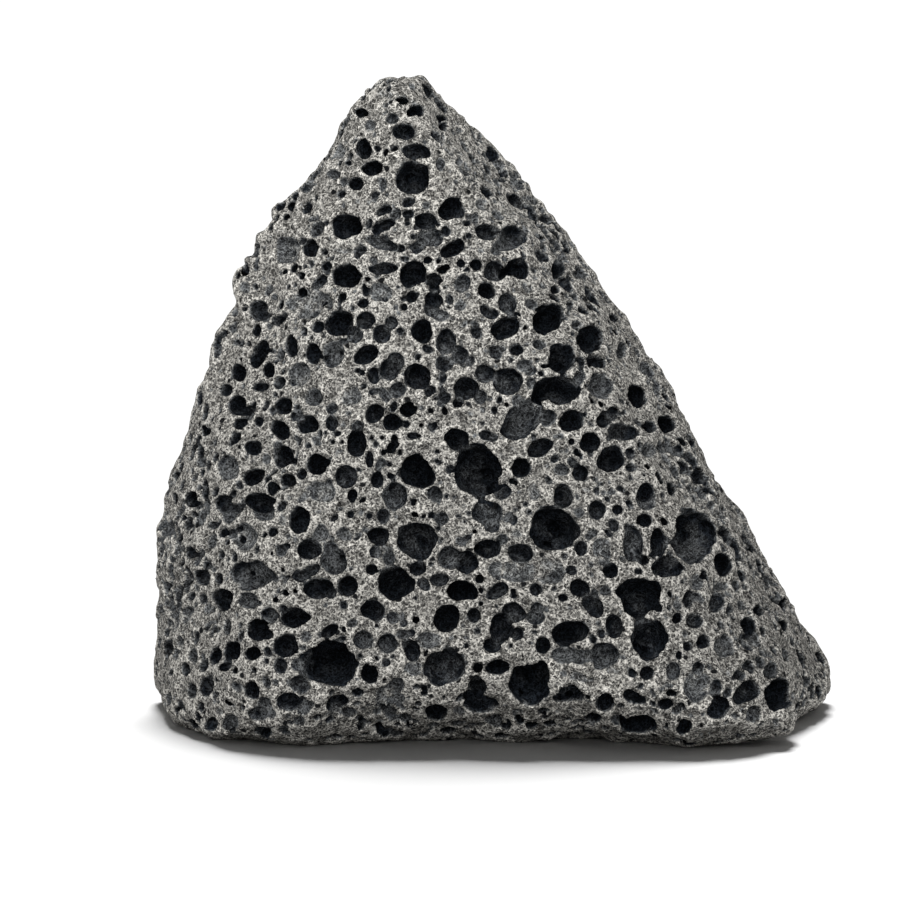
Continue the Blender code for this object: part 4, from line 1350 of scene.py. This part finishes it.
    def build(self, box: Sequence[Sequence[float]]) -> bpy.types.Object:
        """Carve the stone, make its mesh and note on it how crowded, how open and how lit
        from above it is, for rubbed rims and painted shade and light in the finish.

        Args:
            box: low and high corners of the solid, in metres.

        Returns:
            The finished piece, at the origin.
        """
        values = self.carve()
        wear_and_shade = self.crowding(values)
        np.maximum(values, (self.spike_share - wear_and_shade) * np.float32(self.spike_slope), out=values)
        vertices, faces = SurfaceNet(self.lattice).mesh(values)
        LOG.info("net of %d vertices", len(vertices))
        mesh = self.thinned(vertices, faces)
        places, facing = np.empty((2, len(mesh.vertices) * 3))
        mesh.vertices.foreach_get("co", places)
        mesh.vertex_normals.foreach_get("vector", facing)
        places = places.reshape(-1, 3)
        clear, lit = self.openness(values, places, facing.reshape(-1, 3))
        # Share of solid round each vertex: the finish makes rubbed rims paler, and creases and hollows darker
        # as painted shade
        set_numbers(mesh, "wear_and_shade", 0.5 - self.lattice.sample(wear_and_shade, places))
        # How open each vertex is, painted into the colour as shade that darkens hollows
        set_numbers(mesh, "open", clear)
        # Light from above that reaches each vertex, painted into the colour as light and shade
        set_numbers(mesh, "lit", lit)
        places[:, :2] += CENTRING
        places = np.clip(places * MM, np.array(box[0]), np.array(box[1]))
        mesh.vertices.foreach_set("co", places.ravel())
        mesh.shade_smooth()
        mesh.update()
        piece = bpy.data.objects.new("stone", mesh)
        bpy.context.scene.collection.objects.link(piece)
        return piece


def fill_mesh(mesh: bpy.types.Mesh, vertices: Array, faces: Array) -> None:
    """Put whole arrays into an empty mesh.

    Args:
        mesh: the mesh.
        vertices: (n, 3) vertices.
        faces: (m, sides) faces, all with the same number of sides.
    """
    count, sides = faces.shape
    mesh.vertices.add(len(vertices))
    mesh.vertices.foreach_set("co", vertices.astype(np.float32).ravel())
    mesh.loops.add(count * sides)
    mesh.loops.foreach_set("vertex_index", faces.astype(np.int32).ravel())
    mesh.polygons.add(count)
    mesh.polygons.foreach_set("loop_start", np.arange(0, count * sides, sides, dtype=np.int32))
    mesh.update(calc_edges=True)


def set_numbers(mesh: bpy.types.Mesh, name: str, values: Array) -> None:
    """Store one number for each vertex under a name."""
    layer = mesh.attributes.new(name, "FLOAT", "POINT")
    layer.data.foreach_set("value", values.astype(np.float32))


@dataclass(frozen=True)
class Wire:
    """A socket that Python's arithmetic works on."""

    tree: bpy.types.NodeTree
    socket: bpy.types.NodeSocket

    def maths(self, operation: str, *others: "Wire | float", first: float | None = None) -> "Wire":
        """Result of a Math node on this wire and others.

        Args:
            operation: the Math node's operation.
            others: further wires or numbers.
            first: a number that goes before this wire, if any.

        Returns:
            The wire of the result.
        """
        node = self.tree.nodes.new("ShaderNodeMath")
        node.operation = operation
        terms = ([first] if first is not None else []) + [self, *others]
        for socket, term in zip(node.inputs, terms):
            connect(self.tree, socket, term)
        return Wire(self.tree, node.outputs[0])

    def __add__(self, other: "Wire | float") -> "Wire":
        """Sum."""
        return self.maths("ADD", other)

    __radd__ = __add__

    def __mul__(self, other: "Wire | float") -> "Wire":
        """Product."""
        return self.maths("MULTIPLY", other)

    __rmul__ = __mul__

    def __sub__(self, other: "Wire | float") -> "Wire":
        """Difference."""
        return self.maths("SUBTRACT", other)

    def __rsub__(self, other: float) -> "Wire":
        """Number less wire."""
        return self.maths("SUBTRACT", first=other)


def connect(tree: bpy.types.NodeTree, socket: bpy.types.NodeSocket, value: Any) -> None:
    """Link a wire into a socket, or set the socket to a plain value."""
    if isinstance(value, Wire):
        tree.links.new(value.socket, socket)
    else:
        socket.default_value = value


Colour = tuple[float, float, float, float]
Ramp = tuple[float, float, float, float]


@dataclass(frozen=True)
class NodeBench:
    """Makes nodes in one material's tree."""

    tree: bpy.types.NodeTree

    def node(self, kind: str, settings: dict[str, Any] | None = None, *places: Any,
             **values: Any) -> bpy.types.Node:
        """One node with its settings and its sockets filled.

        Args:
            kind: node type without the ShaderNode prefix.
            settings: attributes of the node, set before its sockets.
            places: wires or plain values for the first sockets, in order.
            values: wires or plain values by socket name, with _ for a space.

        Returns:
            The node.
        """
        made = self.tree.nodes.new("ShaderNode" + kind)
        for name, value in (settings or {}).items():
            setattr(made, name, value)
        for socket, value in zip(made.inputs, places):
            connect(self.tree, socket, value)
        for name, value in values.items():
            connect(self.tree, made.inputs[name.replace("_", " ")], value)
        return made

    def wire(self, made: bpy.types.Node, name: str | int = 0) -> Wire:
        """An output of a node as a wire."""
        return Wire(self.tree, made.outputs[name])

    def step(self, value: Wire, low: float, high: float, start: float = 0.0,
             end: float = 1.0) -> Wire:
        """Smooth step from start to end while the value goes from low to high."""
        return self.wire(self.node("MapRange", {"interpolation_type": "SMOOTHSTEP"}, value,
                                   low, high, start, end))

    def blend(self, share: Wire, low: Wire | Colour, high: Wire | Colour) -> Wire:
        """Mix of two colours."""
        made = self.node("Mix", {"data_type": "RGBA"}, share)
        connect(self.tree, made.inputs[6], low)
        connect(self.tree, made.inputs[7], high)
        return self.wire(made, 2)

    def scaled(self, colour: Wire, *shares: Wire) -> Wire:
        """Colour times one number after another."""
        for share in shares:
            colour = self.wire(self.node("VectorMath", {"operation": "SCALE"}, colour, Scale=share))
        return colour

    def noise(self, place: Wire, per_m: float, detail: float, roughness: float = 0.5) -> bpy.types.Node:
        """A noise texture."""
        return self.node("TexNoise", Vector=place, Scale=per_m, Detail=detail, Roughness=roughness)

    def cells(self, place: Wire, per_m: float, channel: int = 0) -> tuple[Wire, Wire]:
        """Round cells, each with its own luck.

        Args:
            place: coordinates.
            per_m: cells in a metre.
            channel: which of a cell's three random numbers is its luck.

        Returns:
            Distance from the middle of the cell, and its luck from none to one.
        """
        made = self.node("TexVoronoi", Vector=place, Scale=per_m)
        split = self.node("SeparateColor", Color=self.wire(made, "Color"))
        return self.wire(made, "Distance"), self.wire(split, channel)


@dataclass(frozen=True)
class Pattern:
    """One of the finish's cell patterns.

    Attributes:
        per_m: cells in a metre.
        luck: step from a cell's luck to its reach or strength.
        edge: range over which its edge fades.
    """

    per_m: float
    luck: Ramp
    edge: Span


@dataclass(frozen=True)
class BasaltFinish:
    """Vesicular basalt: speckled warm grey skin over dark bluish hollows, with painted
    shade deepening hollows, creases and fine bubbles, and painted light from above.

    A ramp is a smooth step: from, to, and the results at both.
    """

    pale_grain: Colour = (0.422, 0.408, 0.376, 1.0)
    dark_grain: Colour = (0.058, 0.058, 0.056, 1.0)
    hollow_pale: Colour = (0.140, 0.143, 0.141, 1.0)
    hollow_dark_and_shade: Colour = (0.0090, 0.0113, 0.0145, 1.0)
    # Near-black painted shade of the pinholes
    pinhole_shade: Colour = (0.012, 0.013, 0.014, 1.0)
    roughness: float = 0.95
    shine: float = 0.06
    # Waves in the patterns' coordinates: number in a metre, and height in metres
    wobble_per_m: float = 900.0
    wobble: float = 0.0006
    # Flecks in a metre, fine noise as a share of that, and broad mottling
    speckle_per_m: float = 3700.0
    grain_share: float = 0.6
    mottle_per_m: float = 160.0
    # Weights of flecks, noise and mottling, and the range of their sum
    speckle: tuple[float, ...] = (0.95, 1.0, 0.3, 0.55, 1.50)
    dimples: Pattern = Pattern(520.0, (0.35, 1.0, 0.05, 0.62), (-0.03, 0.30))
    foam: Pattern = Pattern(1250.0, (0.0, 0.8, 0.25, 1.0), (0.04, 0.24))
    froth: Pattern = Pattern(2100.0, (0.0, 0.8, 0.25, 1.0), (0.04, 0.24))
    pinholes: Pattern = Pattern(430.0, (0.48, 1.0, 0.0, 0.24), (-0.02, 0.06))
    # What scales the skin: rubbed rims paler and creases darker with painted shade, painted
    # light from above, fine bubbles with painted shade in them and a painted highlight on
    # their walls, and dimples darkened with painted shade
    worn_and_shaded: Ramp = (-0.12, 0.16, 0.70, 1.36)
    lit_skin: Ramp = (0.45, 1.15, 0.50, 1.10)
    foam_shade_and_highlight: Ramp = (0.0, 1.0, 0.42, 1.30)
    froth_shade_and_highlight: Ramp = (0.0, 1.0, 0.45, 1.30)
    dimple_shade: float = 0.45
    # A hollow's colour by its openness, its own dark bluish grey deepened with painted
    # shade the less open it is, and what scales it: speckle, painted light from above and
    # painted shade in fine bubbles
    opened_low: Ramp = (0.28, 0.64, 0.0, 0.33)
    opened_high: Ramp = (0.64, 0.90, 0.0, 0.67)
    inner_speckle: Ramp = (0.0, 1.0, 0.45, 1.70)
    inner_lit: Ramp = (0.06, 0.80, 0.40, 1.75)
    inner_foam_shade: Ramp = (0.0, 1.0, 0.62, 1.20)
    # Openness at which skin turns to the hollow colour and its painted shade, how ragged the
    # noise makes that border, and how much weaker the pinholes' painted shade is in a hollow
    sunk: Span = (0.90, 0.70)
    sunk_grain: float = 0.26
    inner_pores: float = 0.6
    # Painted shade and light by height in metres: darker at the foot, lighter towards the top
    shade_by_height: Ramp = (0.0, 0.110, 0.84, 1.16)
    # Height of the bump in metres, and the weights in it of noise, flecks,
    # foam, froth, dimples and pinholes
    relief: float = 0.0007
    heights: tuple[float, ...] = (0.40, 0.12, 0.40, 0.2, -0.45, -0.9)

    def material(self) -> bpy.types.Material:
        """Join the patterns and the piece's own numbers into the finish.

        Returns:
            The finished material.
        """
        material = bpy.data.materials.new("vesicular_basalt_finish")
        material.use_nodes = True
        tree = material.node_tree
        bench = NodeBench(tree)
        shader = tree.nodes["Principled BSDF"]
        straight = bench.wire(bench.node("TexCoord"), "Object")
        wobble = bench.wire(bench.noise(straight, self.wobble_per_m, 2.0), "Color")
        place = bench.wire(bench.node("VectorMath", {"operation": "MULTIPLY_ADD"}, wobble,
                                      (self.wobble,) * 3, straight))
        wear_and_shade, clear, lit = (bench.wire(bench.node("Attribute", {"attribute_name": name}), "Fac")
                            for name in ("wear_and_shade", "open", "lit"))

        fleck = bench.cells(place, self.speckle_per_m)[1]
        grain = bench.wire(bench.noise(straight, self.speckle_per_m * self.grain_share, 2.0, 0.65))
        mottle = bench.wire(bench.noise(straight, self.mottle_per_m, 3.0, 0.6))
        dimple = self.pits(bench, place, self.dimples, 2)
        foam = self.walls(bench, place, self.foam)
        froth = self.walls(bench, place, self.froth)
        pinholes = self.pits(bench, place, self.pinholes, 1)

        of_fleck, of_grain, of_mottle, low, high = self.speckle
        speckle = bench.step(fleck * of_fleck + grain * of_grain + mottle * of_mottle, low, high)
        # Skin: speckle, rubbed rims paler, painted shade in creases, dimples and fine bubbles, a painted
        # highlight on the foam's walls, and painted light from above
        skin = bench.scaled(bench.blend(speckle, self.dark_grain, self.pale_grain),
                            bench.step(wear_and_shade, *self.worn_and_shaded), 1.0 - dimple * self.dimple_shade,
                            bench.step(foam, *self.foam_shade_and_highlight), bench.step(lit, *self.lit_skin))
        # Hollows: their own dark bluish grey, deepened with painted shade the less open they are
        shade_by_openness = bench.step(clear, *self.opened_low) + bench.step(clear, *self.opened_high)
        inner = bench.scaled(bench.blend(shade_by_openness, self.hollow_dark_and_shade, self.hollow_pale),
                             bench.step(speckle, *self.inner_speckle), bench.step(lit, *self.inner_lit),
                             bench.step(foam, *self.inner_foam_shade))
        # Where the stone is less open, skin gives way to the hollow colour and its painted shade
        sink = bench.step(clear + (grain - 0.5) * self.sunk_grain, *self.sunk)
        rise = bench.wire(bench.node("SeparateXYZ", Vector=straight), "Z")
        # Froth: painted shade in the finest bubbles and a painted highlight on their walls; then painted
        # shade and light by height
        colour = bench.scaled(bench.blend(sink, skin, inner), bench.step(froth, *self.froth_shade_and_highlight),
                              bench.step(rise, *self.shade_by_height))
        # Pinholes too small to carve: near-black painted shade, weaker within hollows
        colour = bench.blend(pinholes * (1.0 - sink * self.inner_pores), colour, self.pinhole_shade)
        connect(tree, shader.inputs["Base Color"], colour)
        connect(tree, shader.inputs["Roughness"], self.roughness)
        connect(tree, shader.inputs["Specular IOR Level"], self.shine)

        height = grain * self.heights[0]
        for pattern, weight in zip((fleck, foam, froth, dimple, pinholes), self.heights[1:]):
            height = height + pattern * weight
        bump = bench.node("Bump", Height=height, Distance=self.relief, Strength=1.0)
        connect(tree, shader.inputs["Normal"], bench.wire(bump))
        return material

    def walls(self, bench: NodeBench, place: Wire, pattern: Pattern) -> Wire:
        """Thin walls between burst bubbles.

        Args:
            bench: where the nodes go.
            place: coordinates.
            pattern: its luck is how hollow a bubble is.

        Returns:
            One on a wall, down to none in the deepest bubbles.
        """
        luck = bench.cells(place, pattern.per_m)[1]
        edges = bench.node("TexVoronoi", {"feature": "DISTANCE_TO_EDGE"}, Vector=place,
                           Scale=pattern.per_m)
        inside = bench.step(bench.wire(edges, "Distance"), *pattern.edge)
        return 1.0 - inside * bench.step(luck, *pattern.luck)

    def pits(self, bench: NodeBench, place: Wire, pattern: Pattern, channel: int) -> Wire:
        """Round pits, one in some of the cells.

        Args:
            bench: where the nodes go.
            place: coordinates.
            pattern: its luck is how far a pit reaches.
            channel: which of a cell's random numbers is its luck.

        Returns:
            The pit's depth, from none to one.
        """
        away, luck = bench.cells(place, pattern.per_m, channel)
        return bench.step(bench.step(luck, *pattern.luck) - away, *pattern.edge)


@dataclass(frozen=True)
class Lamp:
    """A far, soft lamp: strength, width, height and bearing from the front, in degrees."""

    name: str
    strength: float
    width: float
    height: float
    bearing: float

    def place(self, lights: bpy.types.Object) -> None:
        """Put the lamp into the scene.

        Args:
            lights: the one thing that the lamp's light falls on.
        """
        data = bpy.data.lights.new(self.name, "SUN")
        data.energy = self.strength
        data.angle = float(np.radians(self.width))
        tilt, turn = np.radians(self.height), np.radians(self.bearing)
        way = Vector((np.sin(turn) * np.cos(tilt), -np.cos(turn) * np.cos(tilt), np.sin(tilt)))
        holder = bpy.data.objects.new(self.name, data)
        holder.location = way
        holder.rotation_euler = way.to_track_quat("Z", "Y").to_euler()
        bpy.context.scene.collection.objects.link(holder)
        lit = bpy.data.collections.new(self.name)
        lit.objects.link(lights)
        holder.light_linking.receiver_collection = lit


@dataclass(frozen=True)
class Studio:
    """Pale floor, soft light and the camera.

    Attributes:
        sight: the line that the camera looks along.
        frame_width: width of the picture where the stone stands, in mm.
        sensor: width of the camera's sensor, in mm.
        clip_end: how far the camera sees, in metres.
        floor_half, floor_drop: half the floor's size, and how far it lies
            below the foot, in metres.
        floor_colour, floor_roughness: its surface.
        sky: strength of the surroundings' light.
        floor_lamp, stone_lamp: the two lamps.
    """

    sight: Sight = Sight()
    frame_width: float = 159.3
    sensor: float = 36.0
    clip_end: float = 200.0
    floor_half: float = 40.0
    floor_drop: float = 0.00002
    floor_colour: Colour = (0.93, 0.93, 0.93, 1.0)
    floor_roughness: float = 0.9
    sky: float = 0.115
    floor_lamp: Lamp = Lamp("floor_lamp", 3.50, 22.0, 71.0, 183.0)
    stone_lamp: Lamp = Lamp("stone_lamp", 2.72, 64.0, 42.0, -6.0)

    def floor(self) -> bpy.types.Object:
        """Plain floor under the stone.

        Returns:
            The floor.
        """
        mesh = bpy.data.meshes.new("floor")
        corners = np.array([[-1.0, -1.0, 0.0], [1.0, -1.0, 0.0], [1.0, 1.0, 0.0], [-1.0, 1.0, 0.0]])
        fill_mesh(mesh, corners * self.floor_half - np.array([0.0, 0.0, self.floor_drop]),
                  np.array([[0, 1, 2, 3]]))
        piece = bpy.data.objects.new("floor", mesh)
        material = bpy.data.materials.new("pale_floor")
        material.use_nodes = True
        shader = material.node_tree.nodes["Principled BSDF"]
        shader.inputs["Base Color"].default_value = self.floor_colour
        shader.inputs["Roughness"].default_value = self.floor_roughness
        shader.inputs["Specular IOR Level"].default_value = 0.0
        mesh.materials.append(material)
        bpy.context.scene.collection.objects.link(piece)
        return piece

    def light(self, stone: bpy.types.Object, floor: bpy.types.Object) -> None:
        """White surroundings, a soft lamp for the stone and one for the floor.

        Args:
            stone: what the lamp in front lights.
            floor: what the lamp behind lights, where the stone doesn't shade it.
        """
        world = bpy.data.worlds.new("white_surroundings")
        world.use_nodes = True
        tree = world.node_tree
        seen = tree.nodes.new("ShaderNodeLightPath").outputs["Is Camera Ray"]
        back = tree.nodes["Background"]
        back.inputs["Color"].default_value = (1.0, 1.0, 1.0, 1.0)
        connect(tree, back.inputs["Strength"], Wire(tree, seen) * (1.0 - self.sky) + self.sky)
        bpy.context.scene.world = world
        self.floor_lamp.place(floor)
        self.stone_lamp.place(stone)

    def camera(self) -> None:
        """Camera at the eye of the sight line, and a plain colour transform."""
        eye = Vector((self.sight.eye + np.array([*CENTRING, 0.0])) * MM)
        data = bpy.data.cameras.new("camera")
        data.sensor_width = self.sensor
        data.lens = self.sensor * self.sight.distance / self.frame_width
        data.clip_end = self.clip_end
        holder = bpy.data.objects.new("camera", data)
        holder.location = eye
        holder.rotation_euler = Vector(self.sight.inward).to_track_quat("-Z", "Y").to_euler()
        bpy.context.scene.collection.objects.link(holder)
        bpy.context.scene.camera = holder
        bpy.context.scene.view_settings.view_transform = "Standard"


def main() -> None:
    """Build the stone and the studio round it."""
    logging.basicConfig(level=logging.INFO, format="%(name)s %(relativeCreated)d ms: %(message)s")
    box = [[float(v) for v in corner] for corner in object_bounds()]
    stone = Stone()
    piece = stone.build(box)
    piece.data.materials.append(BasaltFinish().material())
    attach(piece, ROOT)
    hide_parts(NODE)
    LOG.info("stone: %d triangles", len(piece.data.polygons))
    studio = Studio()
    floor = studio.floor()
    studio.light(piece, floor)
    studio.camera()
    LOG.info("floor: %.0f m wide, with lamps and camera", 2.0 * studio.floor_half)


if __name__ == "__main__":
    main()
